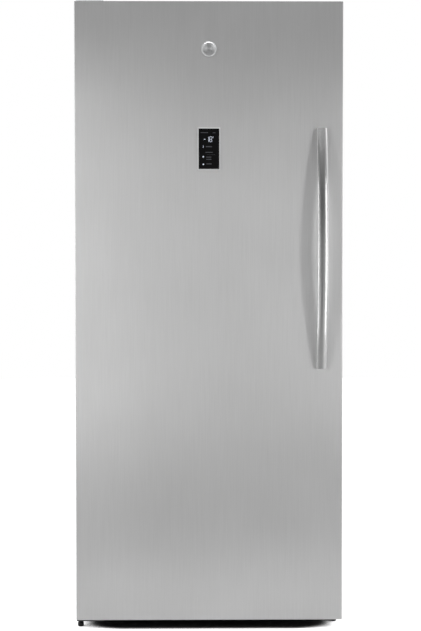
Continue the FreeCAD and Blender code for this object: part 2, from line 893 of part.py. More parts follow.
def make_fan(name, axis, centre, blade_low, radius):
    """Fan wheel: a hub bored for its shaft, with pitched blades set round it."""
    index = "xyz".index(axis)
    spot = [value(text) for text in centre]
    hub = rod(f"{name}_hub", axis, centre, blade_low, f"{blade_low} + fan_depth", "fan_hub")
    bore = rod(f"{name}_bore", axis, centre, f"{blade_low} - over", f"{blade_low} + fan_depth + over",
               "shaft_radius + shaft_gap")
    origin = list(spot)
    origin.insert(index, value(f"{blade_low} + fan_depth / 2"))
    direction = Vector(*[1 if place == index else 0 for place in range(3)])
    thick, hub_radius, reach = value("blade_thick"), value("fan_hub"), value(radius)
    chord = value("fan_depth") / math.sin(math.radians(BLADE_PITCH_DEG)) * BLADE_SHARE
    root = hub_radius * BLADE_ROOT
    blades = []
    for number in range(BLADE_COUNT):
        blade = Part.makeBox(reach - root, chord, thick, Vector(root, -chord / 2, -thick / 2))
        blade.rotate(Vector(), Vector(1, 0, 0), BLADE_PITCH_DEG)
        blade.rotate(Vector(), Vector(0, 0, 1), 360 * number / BLADE_COUNT)
        blade.rotate(Vector(), Rotation(Vector(0, 0, 1), direction).Axis,
                     math.degrees(Rotation(Vector(0, 0, 1), direction).Angle))
        blade.translate(Vector(*origin))
        blades.append(own_shape(f"{name}_blade_{number + 1}", blade))
    return keep(name, cut(f"{name}_wheel", fuse(f"{name}_solid", [hub] + blades), [bore]))


def make_evaporator_fan():
    """Fan that drives air over the evaporator, with its motor on the liner's back wall."""
    spot = ("0", "fan_z")
    motor = rod("motor_can", "y", spot, "fan_back", "hole_back", "fan_motor_radius")
    shaft = rod("motor_shaft", "y", spot, "fan_front - shaft_radius", "fan_back", "shaft_radius")
    keep("evap_fan_motor", fuse("evap_motor", [motor, shaft]))
    make_fan("evap_fan_blade", "y", spot, "fan_front", "fan_radius")


def make_lamp():
    """Lamp under the ceiling of the food space."""
    lens = new_body("lamp_body")
    pad(lens, "XY", "hole_top - lamp_height", "hole_top",
        rectangle("-(lamp_width / 2)", "cabinet_face + lamp_set", "lamp_width / 2",
                  "cabinet_face + lamp_set + lamp_depth"))
    fillet(lens, "lamp_round", edges_along(Vector(1, 0, 0), ("z", "hole_top - lamp_height")))
    keep("ceiling_lamp", lens)


def make_shelves():
    """Glass shelves with a plastic trim along the front and the back edge of each."""
    panes, trims = [], []
    for number in range(SHELF_COUNT):
        low, high = shelf_level(number), f"{shelf_level(number)} + shelf_thick"
        half = "(hole_half - shelf_gap)"
        front, back = "shelf_front", "duct_front - shelf_gap"
        panes.append(box(f"pane_{number + 1}", (f"-{half}", f"{front} + trim_wall", low),
                         (half, f"{back} - trim_wall", high)))
        for edge, start, end, groove in (
                ("front", front, f"{front} + trim_depth", f"{front} + trim_wall"),
                ("rear", f"{back} - trim_depth", back, f"{back} - trim_wall")):
            span = "(ledge_inner - shelf_gap)"
            block = box(f"trim_block_{edge}_{number + 1}",
                        (f"-{span}", start, f"{high} + trim_wall - trim_height"),
                        (span, end, f"{high} + trim_wall"))
            slot = box(f"trim_slot_{edge}_{number + 1}",
                       (f"-{half}", groove if edge == "front" else f"{start} - over", low),
                       (half, f"{end} + over" if edge == "front" else groove, high))
            trims.append(cut(f"trim_{edge}_{number + 1}", block, [slot]))
    keep("shelf_glass", group("panes", panes))
    keep("shelf_trims", group("trims", trims))


def make_drawer_rails():
    """Angle rails on the liner's sides that carry the drawers' flanges."""
    rails = []
    for level, top, back in (("lower", "lower_drawer_high", "step_back"),
                             ("upper", "upper_drawer_high", "duct_front")):
        for sign, side in ((-1, "left"), (1, "right")):
            body = new_body(f"rail_body_{level}_{side}")
            high = f"({top} - flange_drop - rail_gap)"
            root = f"{sign} * hole_half"
            web = f"{sign} * (hole_half - rail_thick)"
            tip = f"{sign} * (tub_half + rail_thick)"
            pad(body, "XZ", "drawer_face + rail_set", f"{back} - drawer_back_gap", outline([
                (root, f"{high} - flange_drop"), (root, f"{high} + flange_drop / 2"),
                (web, f"{high} + flange_drop / 2"), (web, high), (tip, high),
                (tip, f"{high} - rail_thick"), (web, f"{high} - rail_thick"),
                (web, f"{high} - flange_drop")]))
            rails.append(body)
    keep("drawer_rails", group("rails", rails))


def make_drawer(label, low, high, back):
    """Open tub with a taller front, a finger slot and side flanges that run on the rails."""
    start = "drawer_face + drawer_front"
    tub = box(f"{label}_tub", ("-tub_half", start, low),
              ("tub_half", back, f"{high} - flange_drop + flange_thick"))
    hollow = box(f"{label}_hollow", ("-(tub_half - drawer_wall)", start, f"{low} + drawer_wall"),
                 ("tub_half - drawer_wall", f"{back} - drawer_wall", f"{high} + over"))
    front = box(f"{label}_front", ("-drawer_half", "drawer_face", low), ("drawer_half", start, high))
    grip = box(f"{label}_grip", ("-(grip_width / 2)", "drawer_face - over", f"{high} - grip_height"),
               ("grip_width / 2", f"{start} + over", f"{high} + over"))
    solids = [cut(f"{label}_shell", tub, [hollow]), cut(f"{label}_face", front, [grip])]
    flange_low = f"{high} - flange_drop"
    for sign, side in ((-1, "left"), (1, "right")):
        edge, tip = f"{sign} * tub_half", f"{sign} * (drawer_half - rail_gap)"
        ends = (tip, edge) if sign < 0 else (edge, tip)
        solids.append(box(f"{label}_flange_{side}", (ends[0], start, flange_low),
                          (ends[1], back, f"{flange_low} + flange_thick")))
    keep(label, fuse(f"{label}_solid", solids))


def make_controller(box_block):
    """Main board in its pocket at the back, under a plastic cover with four posts."""
    cover = box("box_plate",
                ("-(box_width / 2 + box_cover_lap)", "cabinet_back", "box_low - box_cover_lap"),
                ("box_width / 2 + box_cover_lap", "cabinet_back + box_cover_thick",
                 "box_high + box_cover_lap"))
    posts = []
    inset = "(main_board_inset + post_inset)"
    for across in (f"-(box_width / 2 - {inset})", f"box_width / 2 - {inset}"):
        for height in (f"box_low + {inset}", f"box_high - {inset}"):
            posts.append(rod(f"post_{len(posts) + 1}", "y", (across, height), "board_y", "cabinet_back",
                             "post_radius"))
    keep("board_cover", fuse("controller_cover", [cover] + posts))
    board = box("board", ("-(box_width / 2 - main_board_inset)", "board_y - board_thick",
                          "box_low + main_board_inset"),
                ("box_width / 2 - main_board_inset", "board_y", "box_high - main_board_inset"))
    keep("main_board", board)


# ---- Compressor bay ----

def make_compressor():
    """Welded steel shell with a foot plate on rubber grommets, and the motor on its springs inside."""
    spot = ("compressor_x", "bay_mid")
    floor = "base_z + foot_plate_thick"
    cup = cut("cup", rod("cup_outer", "z", spot, floor, "cup_top", "compressor_radius"),
              [rod("cup_inner", "z", spot, f"{floor} + compressor_wall", "cup_top + over",
                   "compressor_radius - compressor_wall")])
    dome_outer = new_body("dome_outer")
    pad(dome_outer, "XY", "cup_top", "cup_top + dome_height", circle(*spot, "compressor_radius"))
    fillet(dome_outer, "dome_round", edge_above("cup_top + dome_height"))
    dome_inner = new_body("dome_inner")
    pad(dome_inner, "XY", "cup_top - over", "cup_top + dome_height - compressor_wall",
        circle(*spot, "compressor_radius - compressor_wall"))
    fillet(dome_inner, "dome_round - compressor_wall", edge_above("cup_top + dome_height - compressor_wall"))
    dome = cut("dome", dome_outer, [dome_inner])
    corners = []
    for across in (-1, 1):
        for back in (-1, 1):
            corners.append((f"compressor_x + {across} * (foot_plate_width / 2 - bolt_inset)",
                            f"bay_mid + {back} * (foot_plate_depth / 2 - bolt_inset)"))
    bolts, grommets, heads = [], [], []
    for number, corner in enumerate(corners, start=1):
        bolt = rod(f"bolt_{number}", "z", corner, "pan_top", floor, "bolt_radius")
        head = rod(f"bolt_head_{number}", "z", corner, floor, f"{floor} + bolt_head", "bolt_head_radius")
        block = rod(f"grommet_block_{number}", "z", corner, "pan_top", "base_z", "grommet_radius")
        grommets.append(cut(f"grommet_{number}", block, [bolt]))
        heads.append(fuse(f"compressor_bolt_{number}", [bolt, head]))
        bolts.append(bolt)
    plate = box("foot_plate",
                ("compressor_x - foot_plate_width / 2", "bay_mid - foot_plate_depth / 2", "base_z"),
                ("compressor_x + foot_plate_width / 2", "bay_mid + foot_plate_depth / 2", floor))
    base = fuse("cup_on_plate", [cup, cut("drilled_plate", plate, bolts)])
    keep("compressor_shell", group("compressor", [base, dome]))
    keep("compressor_grommets", group("grommets", grommets))
    keep("compressor_bolts", group("bolts", heads))
    springs = [rod("stator", "z", spot, f"{floor} + compressor_wall + spring_height",
                   f"{floor} + compressor_wall + spring_height + motor_height", "motor_radius")]
    for across in (-1, 1):
        for back in (-1, 1):
            place = (f"compressor_x + {across} * spring_place", f"bay_mid + {back} * spring_place")
            springs.append(rod(f"spring_{len(springs)}", "z", place, f"{floor} + compressor_wall",
                               f"{floor} + compressor_wall + spring_height", "spring_radius"))
    keep("compressor_motor", fuse("pump", springs))
    relay = box("relay_block", ("compressor_x + relay_seat", "bay_mid - relay_width / 2", floor),
                ("compressor_x + compressor_radius + relay_depth", "bay_mid + relay_width / 2",
                 f"{floor} + relay_height"))
    envelope = rod("compressor_envelope", "z", spot, floor, "cup_top", "compressor_radius")
    keep("relay_cover", cut("relay", relay, [envelope]))
    return [envelope, dome_outer]


def make_condenser():
    """Tube coil of two layers between two end plates that stand in the drip tray."""
    left, right = value("condenser_left"), value("condenser_right")
    low, pitch, tube = value("condenser_low"), value("condenser_pitch"), value("condenser_tube")
    plate = value("end_plate")
    bend_room = pitch / 2 + plate
    layers = [serpentine(left + bend_room, right - bend_room, low, pitch, depth)
              for depth in (value("front_layer"), value("rear_layer"))]
    for layer in layers:
        layer[-1] = Vector(right, layer[-1].y, layer[-1].z)
    solids = [tube_shape(layers[0][::-1] + layers[1], tube, pitch / 2 - BEND_GAP)]
    floor = value("pan_top + tray_wall")
    top = value("condenser_high") + pitch / 2
    front = value("front_layer") - pitch / 2
    for across in (left, right - plate):
        corner = Vector(across, front, floor)
        solids.append(Part.makeBox(plate, value("layer_gap") * 2 + pitch, top - floor, corner))
    for row in range(PASS_COUNT - 1):
        height = low + (row + 0.5) * pitch
        for depth in (value("front_layer"), value("rear_layer")):
            corner = Vector(left, depth - plate / 2, height - plate / 2)
            solids.append(Part.makeBox(right - left, plate, plate, corner))
    keep("condenser_coil", own_shape("condenser", solids[0].multiFuse(solids[1:]).removeSplitter()))


def make_condenser_fan():
    """Fan between the condenser and the compressor, with its motor on a sheet bracket."""
    spot = ("bay_mid", "bay_fan_z")
    motor = rod("bay_motor_can", "x", spot, "bay_bracket_x - fan_motor_length", "bay_bracket_x",
                "fan_motor_radius")
    shaft = rod("bay_motor_shaft", "x", spot, "bay_fan_x - fan_depth / 2 - shaft_radius",
                "bay_bracket_x - fan_motor_length", "shaft_radius")
    bracket = box("bay_bracket", ("bay_bracket_x", "bay_mid - bay_bracket_half", "pan_top"),
                  ("bay_bracket_x + end_plate", "bay_mid + bay_bracket_half", "bay_bracket_top"))
    keep("condenser_fan_motor", fuse("bay_motor", [motor, shaft, bracket]))
    make_fan("condenser_fan_blade", "x", spot, "bay_fan_x - fan_depth / 2", "bay_fan_radius")


def make_refrigerant_lines(envelope):
    """Filter dryer and the tubes that join compressor, condenser, dryer and evaporator."""
    dryer = rod("dryer", "z", ("dryer_x", "rear_layer"), "dryer_low", "dryer_high", "dryer_radius")
    keep("filter_dryer", dryer)
    tube, thin, bend = value("condenser_tube"), value("capillary_radius"), value("tube_bend")
    front, rear, step = value("front_layer"), value("rear_layer"), value("line_step")
    across, end, top = value("dryer_x"), value("condenser_right"), value("condenser_high")
    compressor, discharge = value("compressor_x"), value("discharge_z")
    suction, suction_y = value("suction_x"), value("bay_mid + line_step")
    dryer_low, dryer_high, roof = value("dryer_low"), value("dryer_high"), value("bay_top")
    capillary_y = rear + value("capillary_run")
    discharge_line = [Vector(compressor, front, discharge), Vector(across, front, discharge),
                      Vector(across, front, top), Vector(end, front, top)]
    liquid_line = [Vector(end, rear, top), Vector(across, rear, top), Vector(across, rear, dryer_high)]
    capillary = [Vector(across, rear, dryer_low), Vector(across, rear, dryer_low - step),
                 Vector(across, capillary_y, dryer_low - step), Vector(across, capillary_y, roof)]
    suction_line = [Vector(suction, suction_y, roof), Vector(suction, suction_y, value("cup_top"))]
    lines = [
        cut("discharge", own_shape("discharge_shape", tube_shape(discharge_line, tube, bend)), envelope),
        own_shape("liquid", tube_shape(liquid_line, tube, bend)),
        own_shape("capillary", tube_shape(capillary, thin, bend)),
        cut("suction", own_shape("suction_shape", tube_shape(suction_line, tube, bend)), envelope),
    ]
    keep("refrigerant_tubes", group("lines", lines))


def make_drip_tray():
    """Open tray that collects the meltwater under the condenser."""
    tray = box("tray_block", ("tray_left", "bay_mid - tray_depth / 2", "pan_top"),
               ("tray_right", "bay_mid + tray_depth / 2", "pan_top + tray_height"))
    hollow = box("tray_hollow",
                 ("tray_left + tray_wall", "bay_mid - tray_depth / 2 + tray_wall", "pan_top + tray_wall"),
                 ("tray_right - tray_wall", "bay_mid + tray_depth / 2 - tray_wall",
                  "pan_top + tray_height + over"))
    keep("drip_tray", cut("tray", tray, [hollow]))


def make_bay_cover(rear_shafts):
    """Slotted sheet that closes the compressor bay, with the gland where a cord enters."""
    body = new_body("cover_body")
    pad(body, "XZ", "cabinet_back", "cover_back",
        rectangle("-inside", "cabinet_low", "inside", "bay_skin_top"))
    slots = []
    for middle in ("-(side / 2)", "side / 2"):
        for number in range(COVER_SLOT_COUNT):
            across = f"{middle} + cover_slot_pitch * {number - (COVER_SLOT_COUNT - 1) / 2}"
            slots.append(rectangle(f"{across} - cover_slot_width / 2", "bay_top / 2 + cabinet_low / 2",
                                   f"{across} + cover_slot_width / 2",
                                   "bay_top / 2 + cabinet_low / 2 + cover_slot_height"))
    pocket(body, "XZ", "cabinet_back", "cover_back", *slots)
    spot = ("gland_x", "gland_z")
    sleeve = rod("gland_sleeve", "y", spot, "cabinet_back - gland_inside", "cover_back + rear_screw_head",
                 "gland_radius")
    collar = rod("gland_collar", "y", spot, "cover_back", "cover_back + rear_screw_head", "gland_collar")
    bore = rod("gland_bore", "y", spot, "cabinet_back - gland_inside - over",
               "cover_back + rear_screw_head + over", "gland_bore")
    keep("bay_cover", cut("cover", body, rear_shafts + [sleeve]))
    keep("cord_gland", cut("gland", fuse("gland_solid", [sleeve, collar]), [bore]))


# ---- Hinges, feet and kick plate ----

def make_hinges(shafts):
    """Top plate with its cover, bottom bracket, and the two collared pins that carry the door.

    The low pin is threaded from below for the left foot.
    """
    spot = ("pin_x", "pin_y")
    top_shank = rod("top_shank", "z", spot, "door_high - pin_grip", "top_plate_high", "pin_radius")
    top_collar = rod("top_collar", "z", spot, "door_high", "cabinet_top", "collar_radius")
    low_shank = rod("low_shank", "z", spot, "bracket_low", "door_low + pin_grip", "pin_radius")
    low_collar = rod("low_collar", "z", spot, "cabinet_low", "door_low", "collar_radius")
    thread = rod("left_thread", "z", spot, "bracket_low - over", "bracket_low + left_stud_grip",
                 "foot_stud + thread_gap")
    low_pin = cut("threaded_pin", fuse("low_pin", [low_shank, low_collar]), [thread])
    keep("hinge_pins", group("pins", [fuse("top_pin", [top_shank, top_collar]), low_pin]))
    top_plate = new_body("top_plate_body")
    pad(top_plate, "XY", "cabinet_top", "top_plate_high",
        rectangle("plate_left", "top_plate_front", "plate_right", "plate_back"))
    fillet(top_plate, "top_plate_round", edges_along(Vector(0, 0, 1), ("y", "top_plate_front")))
    keep("top_hinge_plate", cut("top_plate", top_plate, [top_shank] + shafts["top"]))
    low_plate = new_body("low_plate_body")
    pad(low_plate, "XY", "bracket_low", "cabinet_low",
        rectangle("plate_left", "bracket_front", "plate_right", "plate_back"))
    fillet(low_plate, "bracket_round", edges_along(Vector(0, 0, 1), ("y", "bracket_front")))
    keep("bottom_hinge_bracket", cut("low_plate", low_plate, [low_shank] + shafts["low"]))
    cover_low, cover_high = "top_plate_high", "top_plate_high + hinge_cover_height"
    lid = new_body("lid_body")
    front = "top_plate_front + hinge_cover_set"
    pad(lid, "XY", "cabinet_top", cover_high,
        rectangle("plate_left - hinge_cover_wall + sheet", "cabinet_face + sheet",
                  "plate_right + hinge_cover_wall + sheet", "plate_back + hinge_cover_wall + sheet"))
    pad(lid, "XY", cover_low, cover_high,
        rectangle("plate_left - hinge_cover_wall + sheet", front,
                  "plate_right + hinge_cover_wall + sheet", "cabinet_face + sheet"))
    fillet(lid, "hinge_cover_round", edge_above(cover_high))
    room = box("lid_room", ("plate_left", "cabinet_face + sheet + hinge_cover_wall", "cabinet_top - over"),
               ("plate_right", "plate_back", f"{cover_high} - hinge_cover_wall"))
    nose = box("lid_nose", ("plate_left", f"{front} + hinge_cover_wall", f"{cover_low} - over"),
               ("plate_right", "cabinet_face + sheet + hinge_cover_wall", f"{cover_high} - hinge_cover_wall"))
    under = box("lid_under", ("plate_left", "cabinet_face", "cabinet_top - over"),
                ("plate_right", "plate_back", "top_plate_high"))
    keep("hinge_cover", cut("lid", lid, [room, nose, under]))


def make_foot(label, across, depth, stud_top):
    """Levelling foot: a disc with a threaded stud that turns in what it carries."""
    body = new_body(f"{label}_body")
    pad(body, "XY", "0", "foot_height", circle(across, depth, "foot_radius"))
    fillet(body, "foot_round", edge_above("foot_height"))
    pad(body, "XY", "foot_height", stud_top, circle(across, depth, "foot_stud"))
    keep(label, body)


def make_right_bracket(shafts):
    """Bracket of the right foot, with the tongue that reaches forward under the door."""
    body = new_body("right_bracket_body")
    pad(body, "XY", "bracket_low", "cabinet_low", outline([
        ("side - sheet - right_plate_width", "cabinet_face + sheet"),
        ("side - tongue_inset - tongue_width", "cabinet_face + sheet"),
        ("side - tongue_inset - tongue_width", "bracket_front"), ("side - tongue_inset", "bracket_front"),
        ("side - tongue_inset", "cabinet_face + sheet"), ("inside", "cabinet_face + sheet"),
        ("inside", "plate_back"), ("side - sheet - right_plate_width", "plate_back")]))
    hole = rod("right_thread", "z", ("right_foot_x", "right_foot_y"), "bracket_low - over",
               "cabinet_low + over", "foot_stud + thread_gap")
    keep("right_foot_bracket", cut("right_bracket", body, [hole] + shafts))


def make_rollers():
    """Rear rollers on fixed axles, each in a channel bracket under the base pan."""
    brackets, axles = [], []
    for sign, side in ((-1, "left"), (1, "right")):
        middle = f"{sign} * roller_x"
        half = "(roller_width / 2 + ear_gap)"
        spot = ("roller_y", "roller_radius")
        ears = []
        for step, name in ((f"{middle} - {half} - ear_thick", "inner"), (f"{middle} + {half}", "outer")):
            ears.append(box(f"ear_{side}_{name}", (step, "roller_y - ear_half", "roller_radius - ear_drop"),
                            (f"{step} + ear_thick", "roller_y + ear_half", "cabinet_low")))
        roof = box(f"roof_{side}", (f"{middle} - {half}", "roller_y - ear_half", "cabinet_low - ear_thick"),
                   (f"{middle} + {half}", "roller_y + ear_half", "cabinet_low"))
        axle = rod(f"axle_{side}", "x", spot, f"{middle} - {half} - ear_thick",
                   f"{middle} + {half} + ear_thick", "axle_radius")
        brackets.append(cut(f"bracket_{side}", fuse(f"bracket_solid_{side}", ears + [roof]), [axle]))
        axles.append(axle)
        wheel = new_body(f"wheel_{side}")
        pad(wheel, "YZ", f"{middle} - roller_width / 2", f"{middle} + roller_width / 2",
            circle(*spot, "roller_radius"), circle(*spot, "axle_radius + shaft_gap"))
        keep(f"roller_{side}", wheel)
    keep("roller_brackets", group("brackets", brackets))
    keep("roller_axles", group("axles", axles))


def make_kick_plate():
    """Slotted plinth strip that hangs under the front of the base pan."""
    body = new_body("kick_body")
    pad(body, "YZ", "-kick_half", "kick_half", outline([
        ("kick_front", "kick_low"), ("kick_front + kick_thick", "kick_low"),
        ("kick_front + kick_thick", "cabinet_low - kick_thick"),
        ("kick_front + kick_lip", "cabinet_low - kick_thick"),
        ("kick_front + kick_lip", "cabinet_low"), ("kick_front", "cabinet_low")]))
    slots = []
    for number in range(KICK_SLOT_COUNT):
        across = f"kick_half * {(2 * number + 1) / KICK_SLOT_COUNT - 1}"
        middle = "(kick_low + cabinet_low) / 2"
        slots.append(rectangle(f"{across} - kick_slot_width / 2", f"{middle} - kick_slot_height / 2",
                               f"{across} + kick_slot_width / 2", f"{middle} + kick_slot_height / 2"))
    pocket(body, "XZ", "kick_front", "kick_front + kick_thick", *slots)
    keep("kick_plate", body)


# ---- Door ----

def front_shape(half, face, back, radius):
    """Plan of a door layer, with rounded front corners."""
    return outline([
        (f"-{half}", back), (f"-{half}", f"{face} + {radius}", radius, -1), (f"-({half} - {radius})", face),
        (f"{half} - {radius}", face, radius, -1), (half, f"{face} + {radius}"), (half, back)])


def make_door_skin(housing, studs):
    """Brushed stainless skin, wrapped round the front and both sides of the door."""
    body = new_body("skin_body")
    pad(body, "XY", "door_low", "door_high", outline([
        ("-side", "door_back"), ("-side", "door_face + skin_corner", "skin_corner", -1),
        ("-(side - skin_corner)", "door_face"), ("side - skin_corner", "door_face", "skin_corner", -1),
        ("side", "door_face + skin_corner"), ("side", "door_back"), ("skin_in", "door_back"),
        ("skin_in", "door_face + skin_corner", "skin_corner - skin", 1), ("side - skin_corner", "foam_face"),
        ("-(side - skin_corner)", "foam_face", "skin_corner - skin", 1),
        ("-skin_in", "door_face + skin_corner"), ("-skin_in", "door_back")]))
    keep("door_skin", cut("skin_sheet", body, [housing] + studs))


def make_door_caps():
    """End caps that close the door at top and bottom; each is bored for its hinge pin."""
    spot = ("pin_x", "pin_y")
    for label, low, high, bore_low, bore_high in (
            ("door_cap_bottom", "door_low", "cap_low_top", "door_low - over",
             "door_low + pin_grip + door_gap"),
            ("door_cap_top", "cap_high_low", "door_high", "door_high - pin_grip - door_gap",
             "door_high + over")):
        body = new_body(f"{label}_body")
        pad(body, "XY", low, high,
            front_shape("skin_in", "foam_face", "door_foam_back", "(skin_corner - skin)"))
        bore = rod(f"{label}_bore", "z", spot, bore_low, bore_high, "pin_radius + pin_gap")
        keep(label, cut(f"{label}_bored", body, [bore]))


def dike_frame(name, wall, back):
    """Upright rim round the bins, thinned by a wall on both its faces."""
    body = new_body(name)
    pad(body, "XZ", "door_foam_back", back,
        rectangle(f"-(dike_outer - {wall})", f"dike_low + {wall}",
                  f"dike_outer - {wall}", f"dike_high - {wall}"),
        rectangle(f"-(dike_inner + {wall})", f"dike_low + dike_width - {wall}",
                  f"dike_inner + {wall}", f"dike_high - dike_width + {wall}"))
    return body


def bin_level(number):
    """Height of one bin's underside."""
    return f"bin_first + dike_width + bin_pitch * {number}"


def make_door_liner_and_foam(housing, studs):
    """White inner door with the rim that carries the bins, and the foam between it and the skin."""
    plate = box("door_plate", ("-skin_in", "door_foam_back", "door_low"),
                ("skin_in", "door_back", "door_high"))
    rim = dike_frame("rim_outer", "0", "dike_back")
    fill = dike_frame("rim_fill", "door_liner_wall", "dike_back - door_liner_wall")
    lugs = []
    for number in range(BIN_COUNT):
        for sign, side in ((-1, "left"), (1, "right")):
            ends = [f"{sign} * dike_inner", f"{sign} * (dike_inner - lug_width)"]
            if sign > 0:
                ends.reverse()
            lugs.append(box(f"lug_{side}_{number + 1}",
                            (ends[0], "door_back", f"{bin_level(number)} - lug_height"),
                            (ends[1], "door_back + lug_depth", bin_level(number))))
    keep("door_liner", cut("inner_door", fuse("inner_door_solid", [plate, rim] + lugs), [fill]))
    block = new_body("door_foam_body")
    pad(block, "XY", "cap_low_top", "cap_high_low",
        front_shape("skin_in", "foam_face", "door_foam_back", "(skin_corner - skin)"))
    keep("door_foam", cut("door_core", fuse("door_foam_solid", [block, fill]), [housing] + studs))


def make_gasket():
    """Magnetic seal round the door: a base strip, a neck and a wide lip that meets the cabinet."""
    body = new_body("gasket_body")
    neck = "(gasket_base + gasket_neck)"
    for low, high, inset in (("door_back", "door_back + gasket_base", "0"),
                             ("door_back + gasket_base", f"door_back + {neck}", "neck_inset"),
                             (f"door_back + {neck}", "cabinet_face - gasket_gap", "lip_inset")):
        outer, inner = f"(gasket_inset + {inset})", f"(gasket_inset + gasket_width - {inset})"
        pad(body, "XZ", low, high,
            rectangle(f"-(side - {outer})", f"door_low + {outer}", f"side - {outer}", f"door_high - {outer}"),
            rectangle(f"-(side - {inner})", f"door_low + {inner}", f"side - {inner}", f"door_high - {inner}"))
    keep("door_gasket", body)


def make_handle():
    """Bowed stainless bar with a crowned section; its flat-cut ends sit on the door over two studs."""
    studs = [rod(f"stud_{name}", "y", ("handle_x", height), "door_face - stud_grip - stud_radius",
                 "door_face - stud_grip - stud_radius + stud_length", "stud_radius")
             for name, height in (("low", "handle_low + stud_inset"), ("high", "handle_high - stud_inset"))]
    body = new_body("bar_body")
    half, flat = "handle_width / 2", "(handle_thick - handle_crown * 2) / 2"
    crown = "((handle_width * handle_width / 4 + handle_crown * handle_crown) / (2 * handle_crown))"
    sketch = sketch_on(body, "XY", "0", [outline([
        (f"-({half})", f"handle_thick / 2 - ({flat})", crown, -1), (half, f"handle_thick / 2 - ({flat})"),
        (half, f"handle_thick / 2 + {flat}", crown, -1), (f"-({half})", f"handle_thick / 2 + {flat}")])])
    turn = body.newObject("PartDesign::Revolution", "bow")
    turn.Profile = sketch
    axis = sketch_on(body, "XY", "0", [])
    reach, bow = value("handle_width"), value("handle_bow")
    line = axis.addGeometry(Part.LineSegment(Vector(-reach, bow, 0), Vector(reach, bow, 0)))
    tie_point(axis, line, 1, Vector(-reach, bow, 0), ("-handle_width", "handle_bow"))
    tie_point(axis, line, 2, Vector(reach, bow, 0), ("handle_width", "handle_bow"))
    turn.ReferenceAxis = (axis, ["Edge1"])
    turn.setExpression("Angle", bind("4 * asin(handle_height / 2 / handle_bow)"))
    turn.Midplane = True
    fillet(body, "handle_edge", lambda edge: abs(abs(edge.CenterOfMass.x) - value(half)) < NEAR
           and edge.Length > value("handle_height") / 2)
    place_at(body, ("handle_x", "handle_front", "handle_mid"))
    space = box("bar_space", (f"handle_x - {half}", "handle_front", "handle_low"),
                (f"handle_x + {half}", "door_face", "handle_high"))
    trimmed = doc.addObject("Part::Common", "bar_trimmed")
    trimmed.Base = body
    trimmed.Tool = space
    keep("handle_bar", cut("bar", trimmed, studs))
    keep("handle_studs", group("studs", studs))
    return studs


def make_panel():
    """Touch panel: a frame let into the door, a black glass over it and a board behind."""
    housing = box("housing_block", ("-housing_half", "housing_face", "housing_low"),
                  ("housing_half", "housing_back", "housing_high"))
    glass_seat = box("glass_seat", ("-(glass_width / 2)", "glass_face", "glass_low"),
                     ("glass_width / 2", "glass_back", "handle_high"))
    room_low = ("-(glass_width / 2 - housing_wall)", "glass_back - over", "glass_low + housing_wall")
    room_high = ("glass_width / 2 - housing_wall", "housing_back - housing_wall",
                 "handle_high - housing_wall")
    room = box("board_room", room_low, room_high)
    keep("panel_housing", cut("panel_frame", housing, [glass_seat, room]))
    glass = new_body("glass_body")
    pad(glass, "XZ", "glass_face", "glass_back",
        rectangle("-(glass_width / 2)", "glass_low", "glass_width / 2", "handle_high"))
    keep("panel_glass", glass)
    board = box("panel_card", (room_low[0], "glass_back + board_set", room_low[2]),
                (room_high[0], "glass_back + board_set + board_thick", room_high[2]))
    keep("panel_board", board)
    return housing


def make_badge():
    """Plain round badge with a raised rim."""
    spot = ("0", "badge_z")
    disc = rod("badge_blank", "y", spot, "door_face - badge_thick", "door_face", "badge_radius")
    recess = rod("badge_recess", "y", spot, "door_face - badge_thick - over", "door_face - badge_floor",
                 "badge_radius - badge_rim")
    keep("badge_disc", cut("badge", disc, [recess]))


def make_bins():
    """Door bins, hung between the rim's sides on its lugs."""
    bins = []
    half = "(dike_inner - bin_gap)"
    for number in range(BIN_COUNT):
        low = bin_level(number)
        block = box(f"bin_block_{number + 1}", (f"-{half}", "door_back", low),
                    (half, "door_back + bin_depth", f"{low} + bin_height"))
        room = box(f"bin_room_{number + 1}",
                   (f"-({half} - bin_wall)", "door_back + bin_wall", f"{low} + bin_wall"),
                   (f"{half} - bin_wall", "door_back + bin_depth - bin_wall", f"{low} + bin_height + over"))
        bins.append(cut(f"bin_{number + 1}", block, [room]))
    keep("door_bins", group("bins", bins))


def make_cabinet():
    """Everything that stands still: shell, foam, liner, machine bay and what the bay holds."""
    shafts = make_bracket_screws()
    rear_shafts = make_rear_screws()
    box_block = box("box_block", ("-(box_width / 2)", "box_front", "box_low"),
                    ("box_width / 2", "cabinet_back + over", "box_high"))
    drain_rod = make_drain()
    make_outer_shell(shafts["top"])
    make_back_panel(box_block)
    make_base_pan(shafts["low"] + shafts["right"], rear_shafts)
    make_bay_liner(drain_rod, rear_shafts)
    outer, lip = make_inner_liner(drain_rod)
    screws = shafts["top"] + shafts["low"] + shafts["right"]
    make_cabinet_foam(outer, lip, [drain_rod, box_block] + screws)
    make_duct_panel()
    make_evaporator()
    make_evaporator_fan()
    make_lamp()
    make_shelves()
    make_drawer_rails()
    make_controller(box_block)
    envelope = make_compressor()
    make_condenser()
    make_condenser_fan()
    make_refrigerant_lines(envelope)
    make_drip_tray()
    make_bay_cover(rear_shafts)
    make_hinges(shafts)
    make_right_bracket(shafts["right"])
    make_rollers()
    make_kick_plate()
    make_foot("foot_left", "pin_x", "pin_y", "bracket_low + left_stud_grip")
    make_foot("foot_right", "right_foot_x", "right_foot_y", "cabinet_low")


def make_door():
    """The door and all that swings with it."""
    housing = make_panel()
    studs = make_handle()
    make_door_skin(housing, studs)
    make_door_caps()
    make_door_liner_and_foam(housing, studs)
    make_gasket()
    make_badge()
    make_bins()


